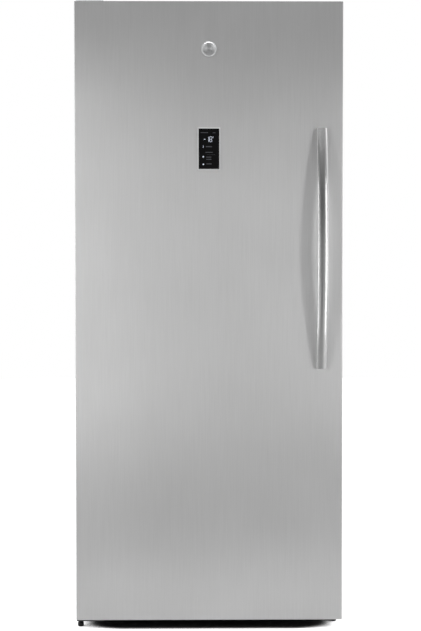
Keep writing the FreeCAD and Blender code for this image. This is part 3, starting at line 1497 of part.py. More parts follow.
def check_and_write():
    """Refuse a failed object or an unsound solid, then write each sub-part to its file."""
    doc.recompute()
    for item in doc.Objects:
        if "Invalid" in item.State or "Error" in item.State:
            raise RuntimeError(f"{item.Name} failed to build")
    os.makedirs("parts", exist_ok=True)
    for item in sub_parts:
        shape = item.Shape
        if shape.isNull() or not shape.isValid() or not shape.Solids:
            raise RuntimeError(f"{item.Label} is not a sound solid")
        shape.exportStep(f"parts/{item.Label}.step")
        print(f"{item.Label}: {len(shape.Solids)} solid(s), {shape.Volume / 1000:.1f} cm3")


make_cabinet()
make_door()
make_drawer("lower_drawer", "lower_drawer_low", "lower_drawer_high", "step_back - drawer_back_gap")
make_drawer("upper_drawer", "upper_drawer_low", "upper_drawer_high", "duct_front - drawer_back_gap")
check_and_write()
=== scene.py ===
"""The looks of an upright freezer: its finishes and small fittings, and the floor, lamps and camera round it."""

import logging
import math
from collections.abc import Mapping, Sequence
from dataclasses import dataclass
from enum import Enum

import bmesh
import bpy
from mathutils import Matrix, Vector


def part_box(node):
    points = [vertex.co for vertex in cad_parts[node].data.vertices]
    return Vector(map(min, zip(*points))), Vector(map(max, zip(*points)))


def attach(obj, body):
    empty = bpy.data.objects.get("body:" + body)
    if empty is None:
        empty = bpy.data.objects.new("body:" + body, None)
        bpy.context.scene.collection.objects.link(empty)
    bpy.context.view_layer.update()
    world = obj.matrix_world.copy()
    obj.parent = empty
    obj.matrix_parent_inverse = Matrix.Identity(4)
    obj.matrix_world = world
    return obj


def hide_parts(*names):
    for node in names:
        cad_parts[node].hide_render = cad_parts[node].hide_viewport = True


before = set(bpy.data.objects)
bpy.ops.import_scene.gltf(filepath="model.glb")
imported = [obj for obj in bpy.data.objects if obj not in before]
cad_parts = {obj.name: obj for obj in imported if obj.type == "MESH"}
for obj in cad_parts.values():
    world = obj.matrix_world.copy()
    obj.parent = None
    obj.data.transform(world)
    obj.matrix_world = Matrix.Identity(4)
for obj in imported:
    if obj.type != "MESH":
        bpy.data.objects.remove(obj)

MM = 0.001
PHOTO_HEIGHT_PX = 631
SENSOR_MM = 36.0

log = logging.getLogger("freezer")


def linear(colour: str, alpha: float = 1.0) -> tuple[float, float, float, float]:
    """Turns an sRGB hex colour to the linear values that a shader takes.

    Args:
        colour: the colour as "#rrggbb".
        alpha: the fourth value.

    Returns:
        Red, green, blue and alpha.
    """
    shares = [int(colour[at : at + 2], 16) / 255 for at in (1, 3, 5)]
    red, green, blue = [s / 12.92 if s <= 0.04045 else ((s + 0.055) / 1.055) ** 2.4 for s in shares]
    return red, green, blue, alpha


def add_node(
    tree: bpy.types.NodeTree, kind: str, inputs: Mapping[str | int, object] | None = None, **settings: object
) -> bpy.types.Node:
    """Adds a node to a tree, with its settings and its links.

    Args:
        tree: the node tree.
        kind: the node's type name in Blender.
        inputs: for each input, the value that it holds or the output that it is linked to.
        settings: the node's own attributes.

    Returns:
        The new node.
    """
    node = tree.nodes.new(kind)
    for name, setting in settings.items():
        setattr(node, name, setting)
    for socket, content in (inputs or {}).items():
        if isinstance(content, bpy.types.NodeSocket):
            tree.links.new(content, node.inputs[socket])
        else:
            node.inputs[socket].default_value = content
    return node


class Grain(Enum):
    """The fine pattern that the way a surface was made leaves on it."""

    BELT_UP = "belt_up"
    BELT_ACROSS = "belt_across"
    TURNED = "turned"
    MOULD = "mould"
    PEEL = "peel"
    SPANGLE = "spangle"
    CELLS = "cells"
    TRACKS = "tracks"


STRETCHES = {
    Grain.BELT_UP: (1.0, 1.0, 0.012),
    Grain.BELT_ACROSS: (0.012, 1.0, 1.0),
}


@dataclass(frozen=True)
class Finish:
    """A finish that makes its material once and gives it to every piece that asks."""

    name: str

    def material(self) -> bpy.types.Material:
        """Finds this finish's material, or makes it.

        Returns:
            The material.
        """
        made = bpy.data.materials.get(self.name)
        if made is None:
            made = bpy.data.materials.new(self.name)
            made.use_nodes = True
            made.node_tree.nodes.clear()
            shader = self.shade(made.node_tree)
            add_node(made.node_tree, "ShaderNodeOutputMaterial", {"Surface": shader.outputs[0]})
        return made

    def shade(self, tree: bpy.types.NodeTree) -> bpy.types.Node:
        """Adds this finish's nodes.

        Args:
            tree: the material's node tree.

        Returns:
            The shader node that the output takes.
        """
        raise NotImplementedError


@dataclass(frozen=True)
class Surface(Finish):
    """An opaque finish: two near tones, a fine grain and a slow mottling."""

    colour: str
    other: str
    grain: Grain
    pitch_mm: float
    roughness: float
    swing: float = 0.05
    metallic: float = 0.0
    relief_mm: float = 0.0
    anisotropy: float = 0.0
    coat: float = 0.0
    ior: float = 1.5
    cloud_mm: float = 160.0
    turned_about: tuple[float, float, float] = (0.0, 0.0, 0.0)

    def fine(self, tree: bpy.types.NodeTree, place: bpy.types.NodeSocket) -> bpy.types.NodeSocket:
        """Adds the fine grain.

        Args:
            tree: the material's node tree.
            place: the object coordinates, in metres.

        Returns:
            The output that holds the grain's value, about 0 to 1.
        """
        scale = 1 / (self.pitch_mm * MM)
        if self.grain is Grain.TURNED:
            offset = add_node(tree, "ShaderNodeVectorMath", {0: place, 1: self.turned_about}, operation="SUBTRACT")
            flat = add_node(tree, "ShaderNodeVectorMath", {0: offset.outputs[0], 1: (1, 0, 1)}, operation="MULTIPLY")
            reach = add_node(tree, "ShaderNodeVectorMath", {0: flat.outputs[0]}, operation="LENGTH")
            rings = add_node(
                tree, "ShaderNodeTexNoise", {"W": reach.outputs["Value"], "Scale": scale}, noise_dimensions="1D"
            )
            return rings.outputs[0]
        if self.grain in (Grain.SPANGLE, Grain.CELLS):
            cells = add_node(tree, "ShaderNodeTexVoronoi", {"Vector": place, "Scale": scale})
            return cells.outputs["Color" if self.grain is Grain.SPANGLE else "Distance"]
        if self.grain is Grain.TRACKS:
            tracks = add_node(
                tree,
                "ShaderNodeTexBrick",
                {
                    "Vector": place,
                    "Scale": scale,
                    "Color1": (0, 0, 0, 1),
                    "Color2": (0.3, 0.3, 0.3, 1),
                    "Mortar": (1, 1, 1, 1),
                    "Mortar Size": 0.08,
                },
            )
            return tracks.outputs["Color"]
        stretched = add_node(
            tree, "ShaderNodeMapping", {"Vector": place, "Scale": STRETCHES.get(self.grain, (1.0, 1.0, 1.0))}
        )
        noise = add_node(
            tree,
            "ShaderNodeTexNoise",
            {"Vector": stretched.outputs[0], "Scale": scale, "Detail": 3.0, "Roughness": 0.6},
        )
        return noise.outputs[0]

    def shade(self, tree: bpy.types.NodeTree) -> bpy.types.Node:
        """Adds the grain, the mottling and the shader.

        Args:
            tree: the material's node tree.

        Returns:
            The shader node.
        """
        place = add_node(tree, "ShaderNodeTexCoord").outputs["Object"]
        fine = self.fine(tree, place)
        cloud = add_node(
            tree, "ShaderNodeTexNoise", {"Vector": place, "Scale": 1 / (self.cloud_mm * MM), "Detail": 2.0}
        ).outputs[0]
        both = add_node(tree, "ShaderNodeMath", {0: fine, 1: cloud}, operation="ADD")
        share = add_node(
            tree,
            "ShaderNodeMapRange",
            {"Value": both.outputs[0], "From Min": 0.6, "From Max": 1.4},
        )
        tone = add_node(
            tree,
            "ShaderNodeMix",
            {"Factor": share.outputs[0], 6: linear(self.colour), 7: linear(self.other)},
            data_type="RGBA",
        )
        rough = add_node(
            tree,
            "ShaderNodeMapRange",
            {
                "Value": fine,
                "From Min": 0.25,
                "From Max": 0.75,
                "To Min": self.roughness - self.swing,
                "To Max": self.roughness + self.swing,
            },
        )
        values = {
            "Base Color": tone.outputs[2],
            "Roughness": rough.outputs[0],
            "Metallic": self.metallic,
            "IOR": self.ior,
            "Coat Weight": self.coat,
        }
        if self.relief_mm:
            bump = add_node(
                tree, "ShaderNodeBump", {"Height": fine, "Distance": self.relief_mm * MM, "Strength": 1.0}
            )
            values["Normal"] = bump.outputs[0]
        if self.anisotropy:
            values["Anisotropic"] = self.anisotropy
            about = "Y" if self.grain is Grain.TURNED else "Z"
            values["Tangent"] = add_node(tree, "ShaderNodeTangent", direction_type="RADIAL", axis=about).outputs[0]
        return add_node(tree, "ShaderNodeBsdfPrincipled", values)


@dataclass(frozen=True)
class Clear(Finish):
    """A clear moulding or pane, with the faint unevenness of its surface."""

    colour: str
    ior: float
    roughness: float
    wave_mm: float = 40.0
    relief_mm: float = 0.02

    def shade(self, tree: bpy.types.NodeTree) -> bpy.types.Node:
        """Adds the slow ripple and the shader.

        Args:
            tree: the material's node tree.

        Returns:
            The shader node.
        """
        place = add_node(tree, "ShaderNodeTexCoord").outputs["Object"]
        wave = add_node(tree, "ShaderNodeTexNoise", {"Vector": place, "Scale": 1 / (self.wave_mm * MM)}).outputs[0]
        bump = add_node(tree, "ShaderNodeBump", {"Height": wave, "Distance": self.relief_mm * MM})
        return add_node(
            tree,
            "ShaderNodeBsdfPrincipled",
            {
                "Base Color": linear(self.colour),
                "Roughness": self.roughness,
                "IOR": self.ior,
                "Transmission Weight": 1.0,
                "Normal": bump.outputs[0],
            },
        )


@dataclass(frozen=True)
class Lit(Finish):
    """A lit mark of the display, or a printed mark given a faint painted glow, a little uneven as a light guide is."""

    colour: str
    strength: float
    patch_mm: float = 6.0

    def shade(self, tree: bpy.types.NodeTree) -> bpy.types.Node:
        """Adds the unevenness and the shader.

        Args:
            tree: the material's node tree.

        Returns:
            The shader node.
        """
        place = add_node(tree, "ShaderNodeTexCoord").outputs["Object"]
        patch = add_node(tree, "ShaderNodeTexNoise", {"Vector": place, "Scale": 1 / (self.patch_mm * MM)}).outputs[0]
        level = add_node(
            tree,
            "ShaderNodeMapRange",
            {"Value": patch, "To Min": 0.8 * self.strength, "To Max": 1.2 * self.strength},
        )
        return add_node(
            tree,
            "ShaderNodeBsdfPrincipled",
            {
                "Base Color": linear(self.colour),
                "Roughness": 0.3,
                "Emission Color": linear(self.colour),
                "Emission Strength": level.outputs[0],
            },
        )


# Stainless steel sheet, belt-brushed upwards: soft grey with a fine vertical grain that smears every
# reflection sideways. The belt's own lines are about 0.1 mm apart; they are drawn 1.5 mm apart to show.
BRUSHED_SHEET = Surface(
    "stainless_sheet_brushed", "#cacaca", "#d6d6d6", Grain.BELT_UP, 1.5, 0.43, 0.04, 1.0, 0.0, 0.82, cloud_mm=400
)
# Stainless steel bar, belt-finished along its length: brighter edges and a dark middle.
SATIN_BAR = Surface(
    "stainless_bar_satin", "#bdbdbd", "#c9c9c9", Grain.BELT_UP, 1.5, 0.2, 0.03, 1.0, 0.0, 0.5, cloud_mm=300
)
# Aluminium disc, turned on a lathe: fine rings that spread each reflection into a bow across the disc.
TURNED_DISC = Surface(
    "aluminium_turned", "#c4c5c6", "#dcdddd", Grain.TURNED, 0.9, 0.32, 0.05, 1.0, 0.02, 0.7, coat=0.3,
    turned_about=(0.0, 0.0, 1.802), cloud_mm=60,
)
# Coil-coated steel in silver grey: even satin with the faint ripple of rolled paint.
SILVER_SIDE = Surface(
    "steel_coil_coated_silver", "#a9abad", "#b1b3b5", Grain.PEEL, 2.4, 0.42, 0.04, 0.0, 0.01, coat=0.15
)
# Hot-dip galvanised steel: pale zinc crystals about 9 mm wide.
GALVANISED = Surface(
    "steel_galvanised", "#a3a6a8", "#c0c3c5", Grain.SPANGLE, 9.0, 0.42, 0.08, 1.0, 0.0
)
# Rigid polyurethane foam, blown in place: pale yellow with cut cells.
FOAM = Surface("foam_polyurethane", "#e3cf9c", "#efe0b8", Grain.CELLS, 1.6, 0.95, 0.03, 0.0, 0.2)
# Vacuum-formed white polystyrene: glossy, a little soft at its edges.
WHITE_LINER = Surface("polystyrene_formed_white", "#e9ebec", "#f0f1f2", Grain.PEEL, 6.0, 0.22, 0.03, 0.0, 0.02)
# Moulded white ABS: a shade warmer and less glossy than the liner.
WHITE_TRIM = Surface("abs_moulded_white", "#e4e5e4", "#ebecea", Grain.MOULD, 0.8, 0.35, 0.04, 0.0, 0.01)
# Rolled aluminium tube and fins: bright and finely streaked across.
ALUMINIUM = Surface("aluminium_rolled", "#c3c5c7", "#d5d6d8", Grain.BELT_ACROSS, 1.2, 0.3, 0.06, 1.0)
# Stainless heater tube, straw-tinted by its own heat.
HEATER_TUBE = Surface("heater_tube_tinted", "#8f8a80", "#a79d8d", Grain.MOULD, 8.0, 0.36, 0.05, 1.0)
# Moulded black ABS: a fine spark-eroded grain that greys the highlights.
BLACK_ABS = Surface("abs_moulded_black", "#131314", "#1a1a1b", Grain.MOULD, 0.8, 0.5, 0.06, 0.0, 0.03)
# Moulded grey ABS: mid grey, fine grain.
GREY_ABS = Surface("abs_moulded_grey", "#8d8f91", "#979a9c", Grain.MOULD, 0.8, 0.48, 0.05, 0.0, 0.03)
# Zinc-plated steel: bright, cool and slightly cloudy.
ZINC_PLATE = Surface("steel_zinc_plated", "#b4b6b6", "#c9caca", Grain.MOULD, 3.0, 0.32, 0.07, 1.0)
# Black electrocoat on steel: thin and satin.
BLACK_ENAMEL = Surface(
    "steel_electrocoat_black", "#101112", "#1b1c1d", Grain.PEEL, 2.0, 0.38, 0.05, 0.0, 0.02, coat=0.2
)
# Stacked electrical steel and cast iron, oiled.
MOTOR_IRON = Surface("iron_stacked_oiled", "#4e4f50", "#66676a", Grain.BELT_ACROSS, 1.0, 0.45, 0.06, 1.0, 0.02)
# Moulded nitrile rubber: dull, dusty black.
RUBBER = Surface("rubber_nitrile", "#1a1a1a", "#242424", Grain.MOULD, 1.0, 0.8, 0.05, 0.0, 0.04)
# Soft copper tube: warm, with patches of brown oxide.
COPPER = Surface("copper_tube_drawn", "#b8714f", "#d0906c", Grain.MOULD, 14.0, 0.33, 0.08, 1.0)
# Glass-epoxy board beneath green solder resist, over copper tracks.
BOARD = Surface("epoxy_board_green", "#12482a", "#2c6b41", Grain.TRACKS, 14.0, 0.35, 0.05, 0.0, 0.03, coat=0.4)
# Extruded PVC seal: soft mid grey.
SEAL = Surface("pvc_seal_grey", "#8b8d8e", "#959798", Grain.MOULD, 1.5, 0.55, 0.05, 0.0, 0.03)
# Satin silver paint on a moulding: the rims of the display and the badge, a little paler than the steel.
FRAME_SILVER = Surface("abs_painted_silver", "#dbdcdd", "#e2e3e3", Grain.MOULD, 0.8, 0.34, 0.04, 0.0, 0.01, coat=0.3)
# Back-printed black glass with a clear anti-glare layer: mirror-smooth and nearly black.
BLACK_GLASS = Surface("glass_printed_black", "#050506", "#080809", Grain.MOULD, 30.0, 0.06, 0.01, ior=1.38)
# Opal polycarbonate over the lamp.
LAMP_LENS = Lit("polycarbonate_opal", "#f4f5f2", 0.25)
# Tempered soda-lime glass, faintly green.
SHELF_GLASS = Clear("glass_tempered", "#eef7f3", 1.52, 0.02)
# Clear moulded polystyrene of the drawers and bins.
CLEAR_STYRENE = Clear("polystyrene_clear", "#f0f5f8", 1.45, 0.06)
# Lit figures of the display, blue-white.
LIT_FIGURE = Lit("display_lit", "#dfe6f5", 0.36)
# Grey print beneath the glass, given a faint painted glow.
GLOWING_GREY_PRINT = Lit("display_print_grey_glowing", "#424347", 0.12)
# Small icon lit from behind at half strength.
DIM_ICON = Lit("display_icon_dim", "#b9bfd2", 0.2)


def new_piece(
    name: str, mesh: bmesh.types.BMesh, body: str, finish: Finish, stands_for: Sequence[str] = ()
) -> None:
    """Turns a finished mesh into a piece of the freezer.

    Args:
        name: the piece's name.
        mesh: its mesh, in metres in the freezer's frame; it is freed.
        body: the body that it moves with.
        finish: what it is finished in.
        stands_for: CAD nodes that it takes the place of.
    """
    bmesh.ops.recalc_face_normals(mesh, faces=mesh.faces)
    data = bpy.data.meshes.new(name)
    mesh.to_mesh(data)
    mesh.free()
    piece = bpy.data.objects.new(name, data)
    bpy.context.scene.collection.objects.link(piece)
    data.materials.append(finish.material())
    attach(piece, body)
    if stands_for:
        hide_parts(*stands_for)
    log.info("%s: %d faces, rides on %s", name, len(data.polygons), body)


def dress(finishes: Mapping[str, Finish]) -> None:
    """Gives CAD nodes their finishes.

    Args:
        finishes: the finish of each node, by the node's name.
    """
    for name, finish in finishes.items():
        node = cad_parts[name]
        node.data.materials.clear()
        node.data.materials.append(finish.material())
        log.info("%s: %s", name, finish.name)


def add_slab(mesh: bmesh.types.BMesh, outline: Sequence[tuple[float, float]], low: float, high: float) -> None:
    """Adds a closed slab whose outline lies across X and Z, in millimetres.

    Args:
        mesh: the mesh that it is added to.
        outline: the outline's points as (x, z).
        low: the Y of one face.
        high: the Y of the other.
    """
    ends = [[mesh.verts.new((x * MM, y * MM, z * MM)) for x, z in outline] for y in (low, high)]
    mesh.faces.new(ends[0])
    mesh.faces.new(reversed(ends[1]))
    for at, near in enumerate(ends[0]):
        after = (at + 1) % len(outline)
        mesh.faces.new((near, ends[1][at], ends[1][after], ends[0][after]))


@dataclass(frozen=True)
class RoundBox:
    """A rectangle across X and Z with round corners, in millimetres."""

    left: float
    right: float
    low: float
    high: float
    corner: float

    def inset(self, by: float) -> "RoundBox":
        """Gives the same rectangle drawn in by a distance on every side."""
        return RoundBox(self.left + by, self.right - by, self.low + by, self.high - by, max(self.corner - by, 0.05))

    def outline(self, steps: int = 3) -> list[tuple[float, float]]:
        """Gives its outline.

        Args:
            steps: the number of steps round each corner.

        Returns:
            The points in order, as (x, z).
        """
        near, far = self.left + self.corner, self.right - self.corner
        below, above = self.low + self.corner, self.high - self.corner
        points = []
        for quarter, (across, level) in enumerate(((far, above), (near, above), (near, below), (far, below))):
            for step in range(steps + 1):
                turn = math.pi / 2 * (quarter + step / steps)
                points.append((across + self.corner * math.cos(turn), level + self.corner * math.sin(turn)))
        return points


def join_rings(mesh: bmesh.types.BMesh, rings: Sequence[Sequence[bmesh.types.BMVert]]) -> None:
    """Joins each ring of points to the next one with a band of faces.

    Args:
        mesh: the mesh that holds the rings.
        rings: the rings, all with as many points.
    """
    for lower, upper in zip(rings, rings[1:]):
        for step, start in enumerate(lower):
            after = (step + 1) % len(lower)
            mesh.faces.new((start, lower[after], upper[after], upper[step]))


def add_stack(
    mesh: bmesh.types.BMesh, sections: Sequence[tuple[RoundBox, float]], steps: int = 3, ring: bool = False
) -> None:
    """Adds a closed shape that runs through sections along Y.

    Args:
        mesh: the mesh that it is added to.
        sections: each section's outline and its Y in millimetres.
        steps: the number of steps round each corner.
        ring: whether the last section joins the first, which leaves an opening through the middle.
    """
    rings = [
        [mesh.verts.new((x * MM, y * MM, z * MM)) for x, z in box.outline(steps)] for box, y in sections
    ]
    if ring:
        join_rings(mesh, [*rings, rings[0]])
    else:
        join_rings(mesh, rings)
        mesh.faces.new(reversed(rings[0]))
        mesh.faces.new(rings[-1])


def add_dome(
    mesh: bmesh.types.BMesh, box: RoundBox, base: float, rise: float, drawn_in: float, steps: int = 3
) -> None:
    """Adds a low pressed or moulded dome on a flat back.

    Args:
        mesh: the mesh that it is added to.
        box: its outline at the base.
        base: the Y of its back.
        rise: how far its crest stands off the back along Y, below 0 towards the front.
        drawn_in: how far the crest is drawn in from the outline.
        steps: the number of steps round each corner.
    """
    bends = [math.pi / 2 * share for share in (0.0, 0.3, 0.6, 0.85, 1.0)]
    sections = [(box.inset(drawn_in * (1 - math.cos(b))), base + rise * math.sin(b)) for b in bends]
    add_stack(mesh, sections, steps)


@dataclass(frozen=True)
class ScrewHead:
    """A pan head with a cross recess that faces along Y, in millimetres."""

    radius: float
    height: float
    arm_half: float = 0.17
    arm_reach: float = 0.62
    recess: float = 0.6
    steps: int = 48
    bands: int = 14
    band: float = 0.07

    def level(self, across: float, along: float) -> float:
        """Gives how far the head stands off its seat.

        Args:
            across: the place across the head as a share of the radius.
            along: the place up the head as a share of the radius.

        Returns:
            The height in millimetres.
        """
        reach = math.hypot(across, along)
        dome = self.height * (0.45 + 0.55 * math.sqrt(max(1 - reach * reach, 0.0)))
        arms = sorted((abs(across), abs(along)))
        return dome - self.recess * self.height if arms[0] < self.arm_half and arms[1] < self.arm_reach else dome

    def add(self, mesh: bmesh.types.BMesh, across: float, seat: float, up: float) -> None:
        """Adds one head.

        Args:
            mesh: the mesh that it is added to.
            across: the X of its centre.
            seat: the Y that it sits on.
            up: the Z of its centre.
        """
        rings = []
        for share, raised in ((1.0, False), *((1 - self.band * step, True) for step in range(self.bands))):
            ring = []
            for step in range(self.steps):
                turn = 2 * math.pi * (step + 0.5) / self.steps
                x, z = share * math.cos(turn), share * math.sin(turn)
                stand = self.level(x, z) if raised else 0.0
                ring.append(
                    mesh.verts.new(((across + self.radius * x) * MM, (seat + stand) * MM, (up + self.radius * z) * MM))
                )
            rings.append(ring)
        join_rings(mesh, rings)
        mesh.faces.new(reversed(rings[0]))
        mesh.faces.new(rings[-1])


def add_lathe(
    mesh: bmesh.types.BMesh, profile: Sequence[tuple[float, float]], steps: int, ribs: int = 0, depth: float = 0.0,
    ribbed: tuple[float, float] = (0.0, 0.0),
) -> None:
    """Adds a closed turned shape about the Z axis, in millimetres.

    Args:
        mesh: the mesh that it is added to.
        profile: the profile's points as (radius, height), each radius above 0.
        steps: the number of steps round.
        ribs: the number of ribs round its rim.
        depth: how deep the gaps between the ribs go.
        ribbed: the lowest and highest level of the ribs.
    """
    rings = []
    for radius, height in profile:
        ring = []
        for step in range(steps):
            turn = 2 * math.pi * step / steps
            cut = depth * (0.5 - 0.5 * math.cos(ribs * turn)) if ribbed[0] < height < ribbed[1] else 0.0
            reach = (radius - cut) * MM
            ring.append(mesh.verts.new((reach * math.cos(turn), reach * math.sin(turn), height * MM)))
        rings.append(ring)
    join_rings(mesh, rings)
    mesh.faces.new(reversed(rings[0]))
    mesh.faces.new(rings[-1])


@dataclass
class Door:
    """The brushed door with its caps, seal, badge, bins and inner side."""

    body: str = "door"
    crown: RoundBox = RoundBox(-21.7, 21.7, 1780.3, 1823.7, 21.7)
    crown_seat: float = -318.4
    crown_rise: float = -1.5
    bin_count: int = 5
    bin_first: float = 170.0
    bin_pitch: float = 335.0
    bin_height: float = 100.0
    rail_half: float = 313.5
    rail_high: float = 11.0
    rail_seat: float = -165.6
    rail_rise: float = 3.4

    def build_badge(self) -> None:
        """Builds the plain crowned disc that fills the badge inside its rim."""
        mesh = bmesh.new()
        add_dome(mesh, self.crown, self.crown_seat, self.crown_rise, 20.0, steps=16)
        new_piece("badge_crown", mesh, self.body, TURNED_DISC)

    def build_rails(self) -> None:
        """Builds the white rail along the front edge of each bin."""
        mesh = bmesh.new()
        for number in range(self.bin_count):
            top = self.bin_first + self.bin_pitch * number + self.bin_height + 1.0
            rail = RoundBox(-self.rail_half, self.rail_half, top - self.rail_high, top, self.rail_high / 2)
            add_dome(mesh, rail, self.rail_seat, self.rail_rise, 3.0)
        new_piece("bin_rails", mesh, self.body, WHITE_TRIM)

    def build(self) -> None:
        """Builds the badge and the rails and dresses the door's own nodes."""
        self.build_badge()
        self.build_rails()
        dress(
            {
                "door_skin": BRUSHED_SHEET,
                "door_cap_top": BLACK_ABS,
                "door_cap_bottom": BLACK_ABS,
                "door_foam": FOAM,
                "door_liner": WHITE_LINER,
                "door_gasket": SEAL,
                "handle_bar": SATIN_BAR,
                "handle_studs": ZINC_PLATE,
                "badge_disc": FRAME_SILVER,
                "door_bins": CLEAR_STYRENE,
            }
        )


@dataclass
class Display:
    """The black glass display with its lit figures and printed marks."""

    body: str = "door"
    glass_y: float = -318.7
    proud: float = 0.1
    sunk: float = 0.05
    segment: float = 1.15
    tip_gap: float = 0.15
    ring_width: float = 0.55
    ring_steps: int = 12
    disc_steps: int = 20
    one_gap: float = 2.6
    figure_low: float = 1516.6
    figure_height: float = 15.8
    figure_width: float = 6.6
    figure_left: float = 2.2
    dash: tuple[float, float, float, float] = (-15.4, -11.0, 1523.6, 1525.3)
    degree: tuple[float, float, float] = (12.4, 1530.6, 1.8)
    dots: tuple[tuple[float, float], ...] = ((-17.5, 1470.6), (-17.5, 1447.4))
    dot_radius: float = 2.2
    icon: tuple[tuple[float, float], ...] = (
        (-18.6, 1498.4), (-17.2, 1498.0), (-16.2, 1501.0), (-16.3, 1505.0), (-17.6, 1505.4), (-18.5, 1502.6),
    )
    bars: tuple[tuple[float, float, float, float], ...] = (
        (-25.6, -3.0, 1543.7, 1545.9),
        (11.4, 19.9, 1543.3, 1545.3),
        (-9.7, 8.9, 1500.0, 1503.6),
        (-10.9, 11.9, 1483.0, 1485.4),
        (-6.5, 20.1, 1476.5, 1477.1),
        (-8.1, 7.6, 1468.2, 1471.2),
        (-8.1, 7.6, 1461.2, 1464.2),
        (-8.1, 8.1, 1447.0, 1450.4),
    )
    frame_outer: RoundBox = RoundBox(-35.6, 35.6, 1428.9, 1561.1, 2.2)
    frame_inner: RoundBox = RoundBox(-31.7, 31.7, 1432.9, 1557.1, 1.2)
    frame_fronts: tuple[float, float] = (-319.3, -318.6)
    frame_back: float = -317.0

    def add_mark(self, mesh: bmesh.types.BMesh, outline: Sequence[tuple[float, float]]) -> None:
        """Adds one flat mark on the glass."""
        add_slab(mesh, outline, self.glass_y - self.proud, self.glass_y + self.sunk)

    def add_bar(self, mesh: bmesh.types.BMesh, left: float, right: float, low: float, high: float) -> None:
        """Adds one straight mark on the glass."""
        self.add_mark(mesh, [(left, low), (right, low), (right, high), (left, high)])

    def add_ring(self, mesh: bmesh.types.BMesh, across: float, level: float, radius: float) -> None:
        """Adds a small ring of short marks.

        Args:
            mesh: the mesh that it is added to.
            across: the X of its centre.
            level: the Z of its centre.
            radius: its outer radius.
        """
        steps = self.ring_steps
        inner = radius - self.ring_width * self.segment
        for step in range(steps):
            start, end = [2 * math.pi * (step + share) / steps for share in (0.0, 1.0)]
            corners = [(radius, start), (radius, end), (inner, end), (inner, start)]
            self.add_mark(
                mesh, [(across + reach * math.cos(turn), level + reach * math.sin(turn)) for reach, turn in corners]
            )

    def add_disc(self, mesh: bmesh.types.BMesh, across: float, level: float) -> None:
        """Adds one round mark."""
        turns = [2 * math.pi * step / self.disc_steps for step in range(self.disc_steps)]
        self.add_mark(
            mesh,
            [(across + self.dot_radius * math.cos(t), level + self.dot_radius * math.sin(t)) for t in turns],
        )

    def add_segment(self, mesh: bmesh.types.BMesh, start: tuple[float, float], end: tuple[float, float]) -> None:
        """Adds one pointed segment of a figure.

        Args:
            mesh: the mesh that it is added to.
            start: one tip as (x, z).
            end: the other tip.
        """
        half = self.segment / 2
        along = Vector(end) - Vector(start)
        unit = along.normalized()
        side = Vector((-unit.y, unit.x)) * half
        gap = unit * self.tip_gap * self.segment
        first, last = Vector(start) + gap, Vector(end) - gap
        inner_first, inner_last = first + unit * half, last - unit * half
        points = [first, inner_first - side, inner_last - side, last, inner_last + side, inner_first + side]
        self.add_mark(mesh, [(p.x, p.y) for p in points])

    def build_figures(self) -> None:
        """Builds the lit figures, the dash before them, the degree ring and the two dots."""
        mesh = bmesh.new()
        left, right = self.figure_left, self.figure_left + self.figure_width
        low, middle, high = [self.figure_low + self.figure_height * share for share in (0.0, 0.5, 1.0)]
        one = self.figure_left - self.one_gap * self.segment
        self.add_segment(mesh, (one, low), (one, middle))
        self.add_segment(mesh, (one, middle), (one, high))
        for start, end in (
            ((left, low), (right, low)),
            ((left, middle), (right, middle)),
            ((left, high), (right, high)),
            ((left, low), (left, middle)),
            ((left, middle), (left, high)),
            ((right, low), (right, middle)),
            ((right, middle), (right, high)),
        ):
            self.add_segment(mesh, start, end)
        self.add_bar(mesh, *self.dash)
        self.add_ring(mesh, *self.degree)
        for across, level in self.dots:
            self.add_disc(mesh, across, level)
        new_piece("display_figures", mesh, self.body, LIT_FIGURE)
        mesh = bmesh.new()
        self.add_mark(mesh, self.icon)
        new_piece("display_icon", mesh, self.body, DIM_ICON)

    def build_frame(self) -> None:
        """Builds the frame that laps over the edge of the glass and the sheet round it."""
        outer, inner = self.frame_outer, self.frame_inner
        crest, edge = self.frame_fronts
        mesh = bmesh.new()
        sections = (
            (outer, self.frame_back),
            (outer, edge),
            (outer.inset(0.9), crest),
            (inner.inset(-0.8), crest),
            (inner, edge),
            (inner, self.frame_back),
        )
        add_stack(mesh, sections, ring=True)
        new_piece("display_frame", mesh, self.body, FRAME_SILVER)

    def build_print(self) -> None:
        """Builds the plain printed bars, which carry a faint painted glow."""
        mesh = bmesh.new()
        for bar in self.bars:
            self.add_bar(mesh, *bar)
        new_piece("display_bars", mesh, self.body, GLOWING_GREY_PRINT)

    def build(self) -> None:
        """Dresses the display and adds its marks."""
        dress({"panel_housing": FRAME_SILVER, "panel_glass": BLACK_GLASS, "panel_board": BOARD})
        self.build_frame()
        self.build_figures()
        self.build_print()


